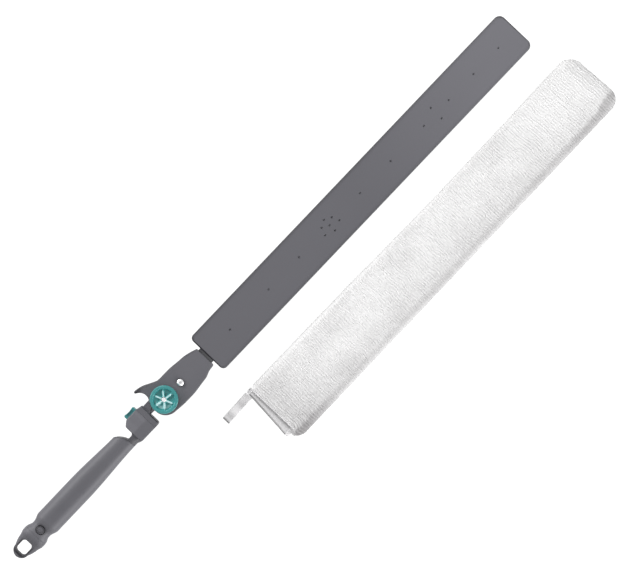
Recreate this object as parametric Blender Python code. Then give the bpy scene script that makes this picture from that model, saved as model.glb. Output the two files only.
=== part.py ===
"""Flexible duster: a wand with a clamped tilting head and a bending blade, and its microfibre sleeve.

The wand lies along X with its pivot at the local origin, tip towards +X, and the sleeve lies beside it
on the same surface. Sizes are in millimetres and MM turns them into metres.
"""

import math

import bmesh
import bpy
from mathutils import Vector

MM = 0.001

# Fits
CLEARANCE = 0.3
PARTING_GAP = 0.3

# Grip, from the cap's seam to the scooped mouth
GRIP_LENGTH = 158.0
GRIP_WIDTH = 32.2
GRIP_HEIGHT = 36.0
GRIP_BORE = 21.0
GRIP_SWELL_LENGTH = 21.0
GRIP_STRAIGHT_LENGTH = 55.0
SEAM_WIDTH = 31.3
SEAM_HEIGHT = 32.6
WAIST_DISTANCE = 8.7
WAIST_LENGTH = 2.4
WAIST_WIDTH = 26.2
WAIST_HEIGHT = 30.0
MOUTH_WIDTH = 25.8
MOUTH_HEIGHT = 27.0
SCOOP_DEPTH = 9.4
SCOOP_POWER = 1.65

# Hanger cap behind the grip
CAP_LENGTH = 35.4
CAP_SPIGOT_LENGTH = 24.0
TAB_WIDTH = 20.2
TAB_HEIGHT = 11.0
TAB_END_LENGTH = 10.0
TAB_END_TAPER = 0.97
TAB_END_THINNING = 0.6
TAB_END_ANGLES = (22, 42, 60, 76)
SPIGOT_ROOT_SHARE = 0.15
HANG_HOLE_LENGTH = 16.4
HANG_HOLE_WIDTH = 13.9
HANG_HOLE_CORNER = 4.2
HANG_HOLE_END_WALL = 6.6

# Snap button that locks the cap in the grip
SNAP_RADIUS = 5.2
SNAP_FLANGE_RADIUS = 6.2
SNAP_FLANGE_HEIGHT = 1.8
SNAP_FLANGE_LEVEL = 5.9
SNAP_PROUD = 0.7
SNAP_GROOVE_OUTER = 4.3
SNAP_GROOVE_INNER = 2.9
SNAP_GROOVE_DEPTH = 0.8
SNAP_WELL_DEPTH = 6.0
SNAP_SPRING_RADIUS = 3.2
SNAP_SPRING_WIRE = 0.8
SNAP_SPRING_TURNS = 5

# Socket block, neck and spigot
BLOCK_LENGTH = 23.8
BLOCK_TOP = 16.2
BLOCK_BOTTOM = 15.3
BLOCK_HEIGHT = 26.0
BLOCK_SHOULDER_LENGTH = 7.0
BLOCK_SHOULDER_DROP = 5.4
BLOCK_EDGE = 1.4
BLOCK_CORNER = 2.4
NECK_LENGTH = 9.8
NECK_NOTCH_LEVEL = -1.4
NECK_NOTCH_CORNER = 3.2
NECK_FLARE = 1.15
NECK_FLARE_LENGTH = 5.5
NECK_TUCK = 0.8
SOCKET_SPIGOT_LENGTH = 44.0

# Plug, collar, tongue and eye
PLUG_LENGTH = 21.8
PLUG_WIDTH = 16.0
PLUG_HEIGHT = 13.0
PLUG_GROOVE_DEPTH = 2.5
COLLAR_LENGTH = 7.0
COLLAR_TOP = 16.1
COLLAR_TOP_SLOPE = 1.6
COLLAR_BOTTOM = 15.3
COLLAR_CORNER = 3.4
COLLAR_EDGE = 1.2
PIVOT_TO_COLLAR = 24.9
TONGUE_TOP = 12.9
TONGUE_BOTTOM = 0.4
TONGUE_THICKNESS = 7.0
EYE_RADIUS = 13.0

# Release button with the latch plate round the plug
PAD_PROUD = 5.2
PAD_DIP = 0.8
PAD_CORNER = 2.2
PAD_LENGTH = 16.2
PAD_HALF_HEIGHT = 7.0
PAD_SEAT_DEPTH = 2.0
RELEASE_TRAVEL = 3.5
PLATE_THICKNESS = 2.5
PLATE_FROM_BLOCK_FACE = 7.3
PLATE_RAIL = 2.5
PLATE_BAR = 3.5
RELEASE_SPRING_RADIUS = 1.7
RELEASE_SPRING_WIRE = 0.7
RELEASE_SPRING_TURNS = 5
RELEASE_SPRING_BORE_DEPTH = 3.4

# Head
HEAD_END = 70.0
HEAD_END_UPPER = 14.2
HEAD_END_LOWER = 14.7
HEAD_HALF_WIDTH = 21.2
HEAD_FULL_START = 16.0
HEAD_FULL_END = 27.0
HEAD_STEP_START = 44.0
HEAD_STEP_DROP = 1.7
HEAD_STEP_END = 61.0
HEAD_UPPER_BOW = 1.8
HEAD_LOWER_BOW = 1.4
HEAD_UPPER_END_FLARE = 2.5
HEAD_LOWER_END_FLARE = 0.9
HEAD_CORNER = 1.4
HEAD_THICKNESS = 22.0
HEAD_END_THICKNESS = 14.0
HEAD_TAPER_START = 34.0
HEAD_REAR_RADIUS = 17.0
HEAD_REAR_ANGLE = 176.0
HEAD_HEEL_RADIUS = 19.8
HEAD_HEEL_ANGLE = 264.0
HEAD_EDGE = 1.5
CLAW_CUT_RADIUS = 11.3
CLAW_CUT_X = -23.2
CLAW_CUT_Y = 19.0
CLAW_CUT_START = -48.0
CLAW_CUT_END = 64.0
CLAW_TIP_X = -18.0
CLAW_TIP_Y = 30.9
CLAW_TIP_RADIUS = 1.8
CLAW_BACK_X = 9.5
CLAW_BACK_Y = 21.8
CLAW_BACK_BOW = 1.6
CLAW_BACK_SWAY = 0.5
CHEEK_SLOT_RADIUS = 24.0
CHEEK_SLOT_START = 96.0
CHEEK_SLOT_END = 284.0

# Pivot clamp
DISC_RADIUS = 12.0
DISC_THICKNESS = 1.0
BOLT_RADIUS = 2.9
BOLT_HEAD_FLATS = 10.0
BOLT_HEAD_HEIGHT = 3.8
BOLT_END_HEIGHT = 0.8
WASHER_RADIUS = 9.0
WASHER_THICKNESS = 1.2
KNOB_RADIUS = 17.0
KNOB_HEIGHT = 10.0
KNOB_RIM_WIDTH = 4.6
KNOB_DISH_DEPTH = 2.8
KNOB_HUB_RADIUS = 4.8
KNOB_SPOKES = 6
KNOB_SPOKE_WIDTH = 2.8
KNOB_SPOKE_DROP = 0.9
KNOB_SPOKE_TURN = -10.0
KNOB_DISH_SLOPE = 0.4
KNOB_EDGE = 1.6
NUT_FLATS = 10.0
NUT_HEIGHT = 4.8

# Clamp screw that holds the blade's tang in the head
SCREW_X = 27.8
SCREW_RADIUS = 1.9
SCREW_HEAD_RADIUS = 4.45
SCREW_HEAD_HEIGHT = 2.6
SCREW_SOCKET_FLATS = 2.6
SCREW_SOCKET_DEPTH = 1.4
SCREW_NUT_FLATS = 7.0
SCREW_NUT_HEIGHT = 3.0

# Blade and the core strip inside it
BLADE_GAP = 3.4
BLADE_LENGTH = 538.5
BLADE_WIDTH = 56.0
BLADE_THICKNESS = 6.0
BLADE_EDGE = 1.6
BLADE_ROOT_CORNER = 6.0
BLADE_TIP_CORNER = 8.4
FIRST_BEND = 67.2
BEND_PITCH = 85.8
BENDS = 5
BEND_GAP = 0.4
BEND_RIDGE = 0.36
CORE_WIDTH = 22.0
CORE_THICKNESS = 1.8
CORE_TANG_START = 19.0
CORE_END_WALL = 12.0
CORE_BEND_GAP = 0.6
PIN_HOLE_RADIUS = 1.0
PIN_ROOT = 40.8
PIN_ROW_START = 107.6
PIN_ROW_PITCH = 53.1
PIN_ROW_COUNT = 5
PIN_TIP_START = 378.0
PIN_TIP_PITCH = 43.1
PIN_TIP_COUNT = 4
PIN_CLUSTER_FAR = 12.4
PIN_CLUSTER_NEAR = 8.8
PIN_CLUSTER_SIDE = 4.5
PIN_CLUSTER_REACH = 9.2
PIN_PAIR_DISTANCE = 399.4
PIN_PAIR_SIDE = 9.0

# Sleeve lying beside the wand
SLEEVE_START_X = 80.6
SLEEVE_CENTRE_Y = -108.8
SLEEVE_LENGTH = 557.8
SLEEVE_WIDTH = 83.4
SLEEVE_HEIGHT = 13.4
SLEEVE_EDGE = 5.6
SLEEVE_END_CORNER = 18.0
SLEEVE_END_WALL = 12.0
SLEEVE_END_SLANT = 5.0
SLEEVE_EDGE_SHARE = 0.45
SLEEVE_REST_SHARE = 0.25
SLEEVE_EDGE_STEPS = 4
SLEEVE_MOUTH_TUCK = 1.5
SLEEVE_MOUTH_RUN = 6.0
SLEEVE_MOUTH_THINNING = 0.94
SLEEVE_END_THINNING = 0.45
SLEEVE_END_ANGLES = (90, 66, 44, 24, 8)
POCKET_WIDTH = 66.0
POCKET_HEIGHT = 7.0
HEM_REACH = 10.8
HEM_SLANT = 5.6
HEM_WIDTH = 74.0
HEM_SHIFT = 6.6
HEM_SIDE_WALL = 4.5
HEM_HEIGHT = 11.4
HEM_LIP = 6.6
HEM_EDGE = 1.0
LOOP_LENGTH = 41.2
LOOP_WIDTH = 10.6
LOOP_TAPE = 1.2
LOOP_BULGE = 8.8
LOOP_TAIL = 14.0
LOOP_OPEN_TOP = 10.5
FLOOR_LIFT = 0.4

# Counts of facets
OVAL_SIDES = 28
BORE_SIDES = 24
ROUND_SIDES = 20
HOLE_SIDES = 8
ARC_STEPS = 4
SPRING_STEPS = 9
SPRING_SIDES = 5
GRIP_STEPS = 5
REAR_STEPS = 6
CLAW_BACK_STEPS = 7

# The knob's round upper edge: shares of its edge radius in from the rim and down from the top
KNOB_RIM_CURVE = ((0.0, 2.0), (0.35, 0.8), (1.0, 0.15), (1.6, 0.0))

# The cap's sections from the seam to the tab: share of the way, of the width and of the height
CAP_SECTIONS = (
    (0.00, 1.00, 1.00),
    (0.10, 1.05, 0.98),
    (0.24, 1.04, 0.88),
    (0.34, 0.92, 0.68),
    (0.47, 0.73, 0.38),
    (0.63, 0.60, 0.15),
    (0.82, 0.36, 0.04),
    (1.00, 0.02, 0.00),
)

# Finishes: base colour, roughness, metallic
GREY_PLASTIC = ((0.165, 0.165, 0.185, 1.0), 0.42, 0.0)
DARK_PLASTIC = ((0.085, 0.086, 0.095, 1.0), 0.5, 0.0)
TEAL_PLASTIC = ((0.045, 0.30, 0.29, 1.0), 0.4, 0.0)
FRICTION_LINING = ((0.05, 0.05, 0.05, 1.0), 0.85, 0.0)
BRIGHT_STEEL = ((0.6, 0.6, 0.61, 1.0), 0.28, 1.0)
SPRING_STEEL = ((0.3, 0.3, 0.31, 1.0), 0.35, 1.0)
STRIP_METAL = ((0.2, 0.2, 0.21, 1.0), 0.45, 1.0)
BRASS = ((0.62, 0.45, 0.18, 1.0), 0.35, 1.0)
WHITE_PILE = ((0.84, 0.84, 0.84, 1.0), 0.95, 0.0)
WHITE_TAPE = ((0.78, 0.78, 0.78, 1.0), 0.85, 0.0)

# Places that follow from the sizes
AXIS_HEIGHT = GRIP_HEIGHT / 2
COLLAR_FRONT_X = -PIVOT_TO_COLLAR
COLLAR_BACK_X = COLLAR_FRONT_X - COLLAR_LENGTH
BLOCK_FRONT_X = COLLAR_BACK_X - CLEARANCE
BLOCK_BACK_X = BLOCK_FRONT_X - BLOCK_LENGTH
MOUTH_X = BLOCK_BACK_X - NECK_LENGTH
SEAM_X = MOUTH_X - GRIP_LENGTH
CAP_FRONT_X = SEAM_X - CLEARANCE
BUTT_X = CAP_FRONT_X - CAP_LENGTH
SNAP_X = SEAM_X + WAIST_DISTANCE
BLADE_START_X = HEAD_END + BLADE_GAP
BLADE_END_X = BLADE_START_X + BLADE_LENGTH
BEND_X = [BLADE_START_X + FIRST_BEND + BEND_PITCH * i for i in range(BENDS)]
SPIGOT_RADIUS = GRIP_BORE / 2 - CLEARANCE
HEM_UPPER_Y = SLEEVE_CENTRE_Y + HEM_SHIFT + HEM_WIDTH / 2
HEM_LOWER_Y = HEM_UPPER_Y - HEM_WIDTH

# Levels of the clamp stack above the middle plane
DISC_LEVEL = TONGUE_THICKNESS / 2 + CLEARANCE
CHEEK_INNER = DISC_LEVEL + DISC_THICKNESS + CLEARANCE
CHEEK_OUTER = HEAD_THICKNESS / 2
WASHER_LEVEL = CHEEK_OUTER + CLEARANCE
KNOB_LEVEL = WASHER_LEVEL + WASHER_THICKNESS + CLEARANCE
NUT_LEVEL = KNOB_LEVEL + CLEARANCE
NUT_POCKET_TOP = NUT_LEVEL + NUT_HEIGHT + CLEARANCE
KNOB_TOP = KNOB_LEVEL + KNOB_HEIGHT
BOLT_BORE = BOLT_RADIUS + CLEARANCE


def clear_scene():
    """Remove every object of the scene the script starts in."""
    for item in list(bpy.data.objects):
        bpy.data.objects.remove(item, do_unlink=True)


def make_material(name, finish):
    """Return a Principled material with the finish's colour, roughness and metallic value."""
    colour, roughness, metallic = finish
    material = bpy.data.materials.new(name)
    material.use_nodes = True
    shader = material.node_tree.nodes["Principled BSDF"]
    shader.inputs["Base Color"].default_value = colour
    shader.inputs["Roughness"].default_value = roughness
    shader.inputs["Metallic"].default_value = metallic
    material.diffuse_color = colour
    return material


def add_empty(name, place, parent=None):
    """Add an empty at a place in the wand's frame, below a parent empty."""
    empty = bpy.data.objects.new(name, None)
    bpy.context.scene.collection.objects.link(empty)
    attach(empty, place, parent)
    return empty


def attach(item, place, parent):
    """Parent an object and put its origin at a place given in the wand's frame."""
    item["place"] = place
    base = Vector((0.0, 0.0, 0.0))
    if parent is not None:
        item.parent = parent
        base = Vector(parent["place"])
    item.location = (Vector(place) - base) * MM


def add_solid(name, shape, parent, finish=None, origin=None, sharp=35.0):
    """Turn a bmesh in the wand's frame into an object whose origin lies on its carrier's axis."""
    place = Vector(origin if origin is not None else parent["place"])
    bmesh.ops.recalc_face_normals(shape, faces=shape.faces)
    if shape.calc_volume(signed=True) < 0.0:
        bmesh.ops.reverse_faces(shape, faces=shape.faces)
    for vertex in shape.verts:
        vertex.co = (vertex.co - place) * MM
    mesh = bpy.data.meshes.new(name)
    shape.to_mesh(mesh)
    shape.free()
    mesh.shade_smooth()
    mesh.set_sharp_from_angle(angle=math.radians(sharp))
    item = bpy.data.objects.new(name, mesh)
    bpy.context.scene.collection.objects.link(item)
    attach(item, tuple(place), parent)
    if finish is not None:
        mesh.materials.append(make_material(name + "_finish", finish))
    return item


def combine(target, shape, operation):
    """Join a helper shape to a target, or cut it out, with a Boolean modifier."""
    count = sum(1 for modifier in target.modifiers if modifier.type == "BOOLEAN")
    helper = add_solid(f"{target.name}_tool_{count + 1}", shape, target, origin=target["place"])
    helper.hide_render = True
    helper.display_type = "WIRE"
    modifier = target.modifiers.new(f"{operation.lower()}_{count + 1}", "BOOLEAN")
    modifier.operation = operation
    modifier.solver = "EXACT"
    modifier.object = helper


def cut(target, shape):
    """Cut a shape out of a target."""
    combine(target, shape, "DIFFERENCE")


def join(target, shape):
    """Join a shape to a target."""
    combine(target, shape, "UNION")


def arc(centre, radius, start, end, steps=ARC_STEPS):
    """Return points along an arc, angles in degrees."""
    points = []
    for i in range(steps + 1):
        angle = math.radians(start + (end - start) * i / steps)
        points.append((centre[0] + radius * math.cos(angle), centre[1] + radius * math.sin(angle)))
    return points


def rounded_rectangle(low, high, corner, steps=3):
    """Return the outline of a rectangle with round corners."""
    left, right = low[0] + corner, high[0] - corner
    bottom, top = low[1] + corner, high[1] - corner
    return (
        arc((right, bottom), corner, -90, 0, steps)
        + arc((right, top), corner, 0, 90, steps)
        + arc((left, top), corner, 90, 180, steps)
        + arc((left, bottom), corner, 180, 270, steps)
    )


def rectangle(low, high):
    """Return the outline of a rectangle."""
    return [low, (high[0], low[1]), high, (low[0], high[1])]


def hexagon(centre, flats):
    """Return a hexagon's outline from its width across flats."""
    return arc(centre, flats / math.sqrt(3), 0, 300, 5)


def lift(point, level, axis):
    """Place an outline's point in space: the outline's plane is square to the axis."""
    first, second = point
    if axis == "X":
        return Vector((level, first, second))
    if axis == "Y":
        return Vector((first, level, second))
    return Vector((first, second, level))


def prism(outline, low, high, axis="Z", edge=0.0, edge_ends="both"):
    """Extrude an outline along an axis, with its end edges rounded if an edge radius is given."""
    shape = bmesh.new()
    base = [shape.verts.new(lift(point, low, axis)) for point in outline]
    floor = shape.faces.new(base)
    raised = bmesh.ops.extrude_face_region(shape, geom=[floor])
    top_verts = [item for item in raised["geom"] if isinstance(item, bmesh.types.BMVert)]
    top_faces = [item for item in raised["geom"] if isinstance(item, bmesh.types.BMFace)]
    step = lift((0.0, 0.0), high - low, axis)
    bmesh.ops.translate(shape, verts=top_verts, vec=step)
    if edge > 0.0:
        rims = list(top_faces[0].edges)
        if edge_ends == "both":
            bottom = [face for face in shape.faces if all(vert in base for vert in face.verts)]
            rims += list(bottom[0].edges)
        bmesh.ops.bevel(
            shape, geom=rims, offset=edge, segments=2, profile=0.5, affect="EDGES", clamp_overlap=True
        )
    return shape


def cylinder(centre, radius, low, high, axis="Z", sides=ROUND_SIDES):
    """Return a cylinder along an axis, its centre given in the plane square to it."""
    step = 360.0 / sides
    outline = arc(centre, radius, step / 2, 360.0 - step / 2, sides - 1)
    return prism(outline, low, high, axis)


def turned(profile, centre, sides=ROUND_SIDES):
    """Turn a profile of (radius, height) points about an upright axis; it starts and ends on it."""
    shape = bmesh.new()
    rings = []
    for radius, height in profile:
        if radius == 0.0:
            rings.append([shape.verts.new((centre[0], centre[1], height))])
            continue
        ring = []
        for i in range(sides):
            angle = 2 * math.pi * (i + 0.5) / sides
            x = centre[0] + radius * math.cos(angle)
            y = centre[1] + radius * math.sin(angle)
            ring.append(shape.verts.new((x, y, height)))
        rings.append(ring)
    for below, above in zip(rings, rings[1:]):
        for i in range(sides):
            corners = [below[i % len(below)], below[(i + 1) % len(below)]]
            corners += [above[(i + 1) % len(above)], above[i % len(above)]]
            shape.faces.new(dict.fromkeys(corners))
    return shape


def ring_plate(centre, inner, outer, low, high, sides=BORE_SIDES):
    """Return a flat ring."""
    shape = bmesh.new()
    rows = []
    for radius, height in ((inner, low), (outer, low), (outer, high), (inner, high)):
        row = []
        for i in range(sides):
            angle = 2 * math.pi * (i + 0.5) / sides
            x = centre[0] + radius * math.cos(angle)
            y = centre[1] + radius * math.sin(angle)
            row.append(shape.verts.new((x, y, height)))
        rows.append(row)
    for below, above in zip(rows, rows[1:] + rows[:1]):
        for i in range(sides):
            after = (i + 1) % sides
            shape.faces.new((below[i], below[after], above[after], above[i]))
    return shape


def loft(rings):
    """Skin a row of rings with equal counts and close both ends."""
    shape = bmesh.new()
    rows = [[shape.verts.new(point) for point in ring] for ring in rings]
    for below, above in zip(rows, rows[1:]):
        for i in range(len(below)):
            after = (i + 1) % len(below)
            shape.faces.new((below[i], below[after], above[after], above[i]))
    shape.faces.new(rows[0])
    shape.faces.new(rows[-1])
    return shape


def coil(place, axis, radius, wire, length, turns):
    """Return a helical spring as one tube, starting at a place and running along an axis."""
    count = turns * SPRING_STEPS
    side = Vector((1.0, 0.0, 0.0))
    across = Vector(axis).cross(side)
    rise = length - wire
    rings = []
    for i in range(count + 1):
        angle = 2 * math.pi * i / SPRING_STEPS
        outward = side * math.cos(angle) + across * math.sin(angle)
        centre = Vector(place) + Vector(axis) * (wire / 2 + rise * i / count) + outward * radius
        ring = []
        for j in range(SPRING_SIDES):
            turn = 2 * math.pi * j / SPRING_SIDES
            spread = outward * math.cos(turn) + Vector(axis) * math.sin(turn)
            ring.append(centre + spread * (wire / 2))
        rings.append(ring)
    return loft(rings)


def oval(x, width, height, power=2.5):
    """Return an oval section square to X whose four sides end in flat facets."""
    points = []
    for i in range(OVAL_SIDES):
        angle = 2 * math.pi * (i + 0.5) / OVAL_SIDES
        across, up = math.cos(angle), math.sin(angle)
        y = math.copysign(abs(across) ** (2 / power), across)
        z = math.copysign(abs(up) ** (2 / power), up)
        points.append((y, z))
    reach = max(point[0] for point in points)
    rise = max(point[1] for point in points)
    return [
        Vector((x, y / reach * width / 2, AXIS_HEIGHT + z / rise * height / 2)) for y, z in points
    ]


def eased(keys, distance):
    """Blend key sections (distance, width, height) smoothly at a distance."""
    for (start, *first), (end, *second) in zip(keys, keys[1:]):
        if distance <= end:
            share = (distance - start) / (end - start)
            share = share * share * (3 - 2 * share)
            return [a + (b - a) * share for a, b in zip(first, second)]
    return list(keys[-1][1:])


def scoop_x(y):
    """Return where the grip's mouth ends at a sideways place: square below, drawn back above."""
    start = NECK_NOTCH_LEVEL
    share = max(0.0, (y - start) / (MOUTH_WIDTH / 2 - start))
    return MOUTH_X - SCOOP_DEPTH * share ** SCOOP_POWER


def scoop_edge(setback):
    """Return the mouth's edge in plan, from its lower to its upper side, moved back a little."""
    levels = [NECK_NOTCH_LEVEL + (MOUTH_WIDTH * 0.75 - NECK_NOTCH_LEVEL) * i / 8 for i in range(9)]
    return [(scoop_x(y) - setback, y) for y in levels]


def build_grip(root):
    """Build the tubular grip: a waist behind, a straight body and a mouth scooped on one side."""
    keys = (
        (0.0, SEAM_WIDTH, SEAM_HEIGHT),
        (WAIST_DISTANCE - WAIST_LENGTH / 2, WAIST_WIDTH, WAIST_HEIGHT),
        (WAIST_DISTANCE + WAIST_LENGTH / 2, WAIST_WIDTH, WAIST_HEIGHT),
        (GRIP_SWELL_LENGTH, GRIP_WIDTH, GRIP_HEIGHT),
        (GRIP_SWELL_LENGTH + GRIP_STRAIGHT_LENGTH, GRIP_WIDTH, GRIP_HEIGHT),
        (GRIP_LENGTH, MOUTH_WIDTH, MOUTH_HEIGHT),
    )
    distances = []
    for (start, *first), (end, *second) in zip(keys, keys[1:]):
        steps = 1 if first == second else GRIP_STEPS
        distances += [start + (end - start) * i / steps for i in range(steps)]
    distances.append(GRIP_LENGTH)
    rings = [oval(SEAM_X + distance, *eased(keys, distance)) for distance in distances]
    grip = add_solid("grip", loft(rings), root, GREY_PLASTIC)
    margin = 2.0
    cut(grip, cylinder((0.0, AXIS_HEIGHT), GRIP_BORE / 2, SEAM_X - margin, MOUTH_X + margin,
                       "X", BORE_SIDES))
    far = MOUTH_X + margin
    wide = GRIP_WIDTH
    outline = [(MOUTH_X, -wide), (far, -wide), (far, wide), (scoop_x(wide), wide)]
    cut(grip, prism(outline + scoop_edge(0.0)[::-1], -margin, GRIP_HEIGHT + margin))
    cut(grip, cylinder((SNAP_X, 0.0), SNAP_RADIUS + CLEARANCE, AXIS_HEIGHT, GRIP_HEIGHT + margin))
    return grip


def build_cap(root):
    """Build the butt cap: a swollen root, a thin tab with the hanging hole, and a spigot."""
    run = CAP_LENGTH - TAB_END_LENGTH
    rings = []
    for way, width, height in CAP_SECTIONS:
        rings.append(oval(CAP_FRONT_X - run * way, TAB_WIDTH + (SEAM_WIDTH - TAB_WIDTH) * width,
                          TAB_HEIGHT + (SEAM_HEIGHT - TAB_HEIGHT) * height))
    full = math.sin(math.radians(TAB_END_ANGLES[-1]))
    for degrees in TAB_END_ANGLES:
        angle = math.radians(degrees)
        share = 1 - (1 - math.cos(angle)) * TAB_END_TAPER
        place = CAP_FRONT_X - run - TAB_END_LENGTH * math.sin(angle) / full
        rings.append(oval(place, TAB_WIDTH * share, TAB_HEIGHT * (1 - TAB_END_THINNING * (1 - share))))
    cap = add_solid("hanger_cap", loft(rings), root, GREY_PLASTIC)
    join(cap, cylinder((0.0, AXIS_HEIGHT), SPIGOT_RADIUS, CAP_FRONT_X - CAP_LENGTH * SPIGOT_ROOT_SHARE,
                       SEAM_X + CAP_SPIGOT_LENGTH, "X", BORE_SIDES))
    hole_start = BUTT_X + HANG_HOLE_END_WALL
    hole = rounded_rectangle((hole_start, -HANG_HOLE_WIDTH / 2),
                             (hole_start + HANG_HOLE_LENGTH, HANG_HOLE_WIDTH / 2), HANG_HOLE_CORNER)
    cut(cap, prism(hole, 0.0, GRIP_HEIGHT))
    well_floor = AXIS_HEIGHT - SNAP_WELL_DEPTH
    cut(cap, cylinder((SNAP_X, 0.0), SNAP_FLANGE_RADIUS + CLEARANCE, well_floor, GRIP_HEIGHT))
    return cap


def build_snap_button(root):
    """Build the sprung button that stands in the grip's hole, and its spring."""
    base = AXIS_HEIGHT + SNAP_FLANGE_LEVEL
    top = AXIS_HEIGHT + WAIST_HEIGHT / 2 + SNAP_PROUD
    shoulder = base + SNAP_FLANGE_HEIGHT
    bevel = SNAP_PROUD
    profile = (
        (0.0, base),
        (SNAP_FLANGE_RADIUS, base),
        (SNAP_FLANGE_RADIUS, shoulder),
        (SNAP_RADIUS, shoulder),
        (SNAP_RADIUS, top - bevel),
        (SNAP_RADIUS - bevel, top),
        (SNAP_GROOVE_OUTER, top),
        (SNAP_GROOVE_OUTER, top - SNAP_GROOVE_DEPTH),
        (SNAP_GROOVE_INNER, top - SNAP_GROOVE_DEPTH),
        (SNAP_GROOVE_INNER, top),
        (0.0, top),
    )
    axis = (SNAP_X, 0.0, AXIS_HEIGHT)
    button = add_solid("snap_button", turned(profile, (SNAP_X, 0.0)), root, DARK_PLASTIC, origin=axis)
    floor = AXIS_HEIGHT - SNAP_WELL_DEPTH + CLEARANCE
    spring = coil((SNAP_X, 0.0, floor), (0, 0, 1), SNAP_SPRING_RADIUS, SNAP_SPRING_WIRE,
                  base - CLEARANCE - floor, SNAP_SPRING_TURNS)
    add_solid("snap_spring", spring, root, SPRING_STEEL, sharp=80)
    return button


def neck_ring(x, below=1.0, above=1.0, sunk=1.0):
    """Return the neck's section: its lower side widened, its upper side narrowed and sunk."""
    ring = []
    for point in oval(x, MOUTH_WIDTH, BLOCK_HEIGHT - BLOCK_EDGE):
        upper = point.y > 0.0
        rise = (point.z - AXIS_HEIGHT) * (sunk if upper else 1.0)
        ring.append(Vector((x, point.y * (above if upper else below), AXIS_HEIGHT + rise)))
    return ring


def build_socket(root):
    """Build the spigot, the offset neck and the square block that takes the plug."""
    top, bottom = BLOCK_TOP, -BLOCK_BOTTOM
    low = AXIS_HEIGHT - BLOCK_HEIGHT / 2
    high = AXIS_HEIGHT + BLOCK_HEIGHT / 2
    corner = BLOCK_CORNER
    outline = arc((BLOCK_BACK_X + corner, bottom + corner), corner, 180, 270, 3)
    outline += [(BLOCK_FRONT_X, bottom), (BLOCK_FRONT_X, top)]
    outline += [(BLOCK_BACK_X + BLOCK_SHOULDER_LENGTH, top), (BLOCK_BACK_X, top - BLOCK_SHOULDER_DROP)]
    socket = add_solid("socket_body", prism(outline, low, high, edge=BLOCK_EDGE), root, GREY_PLASTIC)
    overlap = 1.5
    sunk = (BLOCK_HEIGHT / 2 - BLOCK_EDGE - CLEARANCE) / (BLOCK_HEIGHT / 2 - BLOCK_EDGE / 2)
    neck = [neck_ring(MOUTH_X + CLEARANCE), neck_ring(BLOCK_BACK_X - NECK_FLARE_LENGTH),
            neck_ring(BLOCK_BACK_X, NECK_FLARE, NECK_TUCK, sunk),
            neck_ring(BLOCK_BACK_X + overlap, NECK_FLARE, NECK_TUCK, sunk)]
    join(socket, loft(neck))
    join(socket, cylinder((0.0, AXIS_HEIGHT), SPIGOT_RADIUS, MOUTH_X - SOCKET_SPIGOT_LENGTH,
                          BLOCK_BACK_X + overlap * 2 / 3, "X", BORE_SIDES))
    rounding = NECK_NOTCH_CORNER
    notch = [(scoop_x(GRIP_WIDTH), GRIP_WIDTH)]
    notch += scoop_edge(0.0)[:0:-1]
    notch += arc((MOUTH_X + rounding, NECK_NOTCH_LEVEL + rounding), rounding, 180, 270, 3)
    notch += arc((BLOCK_BACK_X - rounding, NECK_NOTCH_LEVEL + rounding), rounding, 270, 360, 3)
    notch += [(BLOCK_BACK_X, GRIP_WIDTH)]
    cut(socket, prism(notch, -1.0, GRIP_HEIGHT + 1.0))
    plug_back = COLLAR_BACK_X - PLUG_LENGTH - CLEARANCE
    beyond = BLOCK_FRONT_X + 1.0
    side = PLUG_WIDTH / 2 + CLEARANCE
    rise = PLUG_HEIGHT / 2 + CLEARANCE
    cut(socket, prism(rectangle((plug_back, -side), (beyond, side)),
                      AXIS_HEIGHT - rise, AXIS_HEIGHT + rise))
    pad_back = BLOCK_FRONT_X - CLEARANCE - PAD_LENGTH - CLEARANCE
    pad_side = PAD_HALF_HEIGHT + CLEARANCE
    cut(socket, prism(rectangle((pad_back, pad_floor()), (beyond, top + 1.0)),
                      AXIS_HEIGHT - pad_side, AXIS_HEIGHT + pad_side))
    slot_x = plate_x()
    slot_side = plate_half_height() + CLEARANCE
    cut(socket, prism(rectangle((slot_x - CLEARANCE, plate_bottom() - RELEASE_TRAVEL - CLEARANCE),
                                (slot_x + PLATE_THICKNESS + CLEARANCE, plate_top() + CLEARANCE)),
                      AXIS_HEIGHT - slot_side, AXIS_HEIGHT + slot_side))
    return socket


def pad_bottom():
    """Return the release pad's underside at rest."""
    return BLOCK_TOP - PAD_SEAT_DEPTH


def pad_floor():
    """Return the floor of the pocket below the pad."""
    return pad_bottom() - RELEASE_TRAVEL - CLEARANCE


def plate_x():
    """Return where the latch plate's rear face stands along the wand."""
    return BLOCK_FRONT_X - PLATE_FROM_BLOCK_FACE - PLATE_THICKNESS


def plate_half_height():
    """Return half the latch plate's height: the plug with a rail on each side."""
    return PLUG_HEIGHT / 2 + CLEARANCE + PLATE_RAIL


def latch_level():
    """Return the top of the latch bar, which stands in the plug's groove."""
    return -PLUG_WIDTH / 2 + PLUG_GROOVE_DEPTH - CLEARANCE


def plate_bottom():
    """Return the latch plate's lower end at rest."""
    return latch_level() - PLATE_BAR


def plate_top():
    """Return the upper end of the latch plate's rails."""
    return pad_bottom() - CLEARANCE


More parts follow.
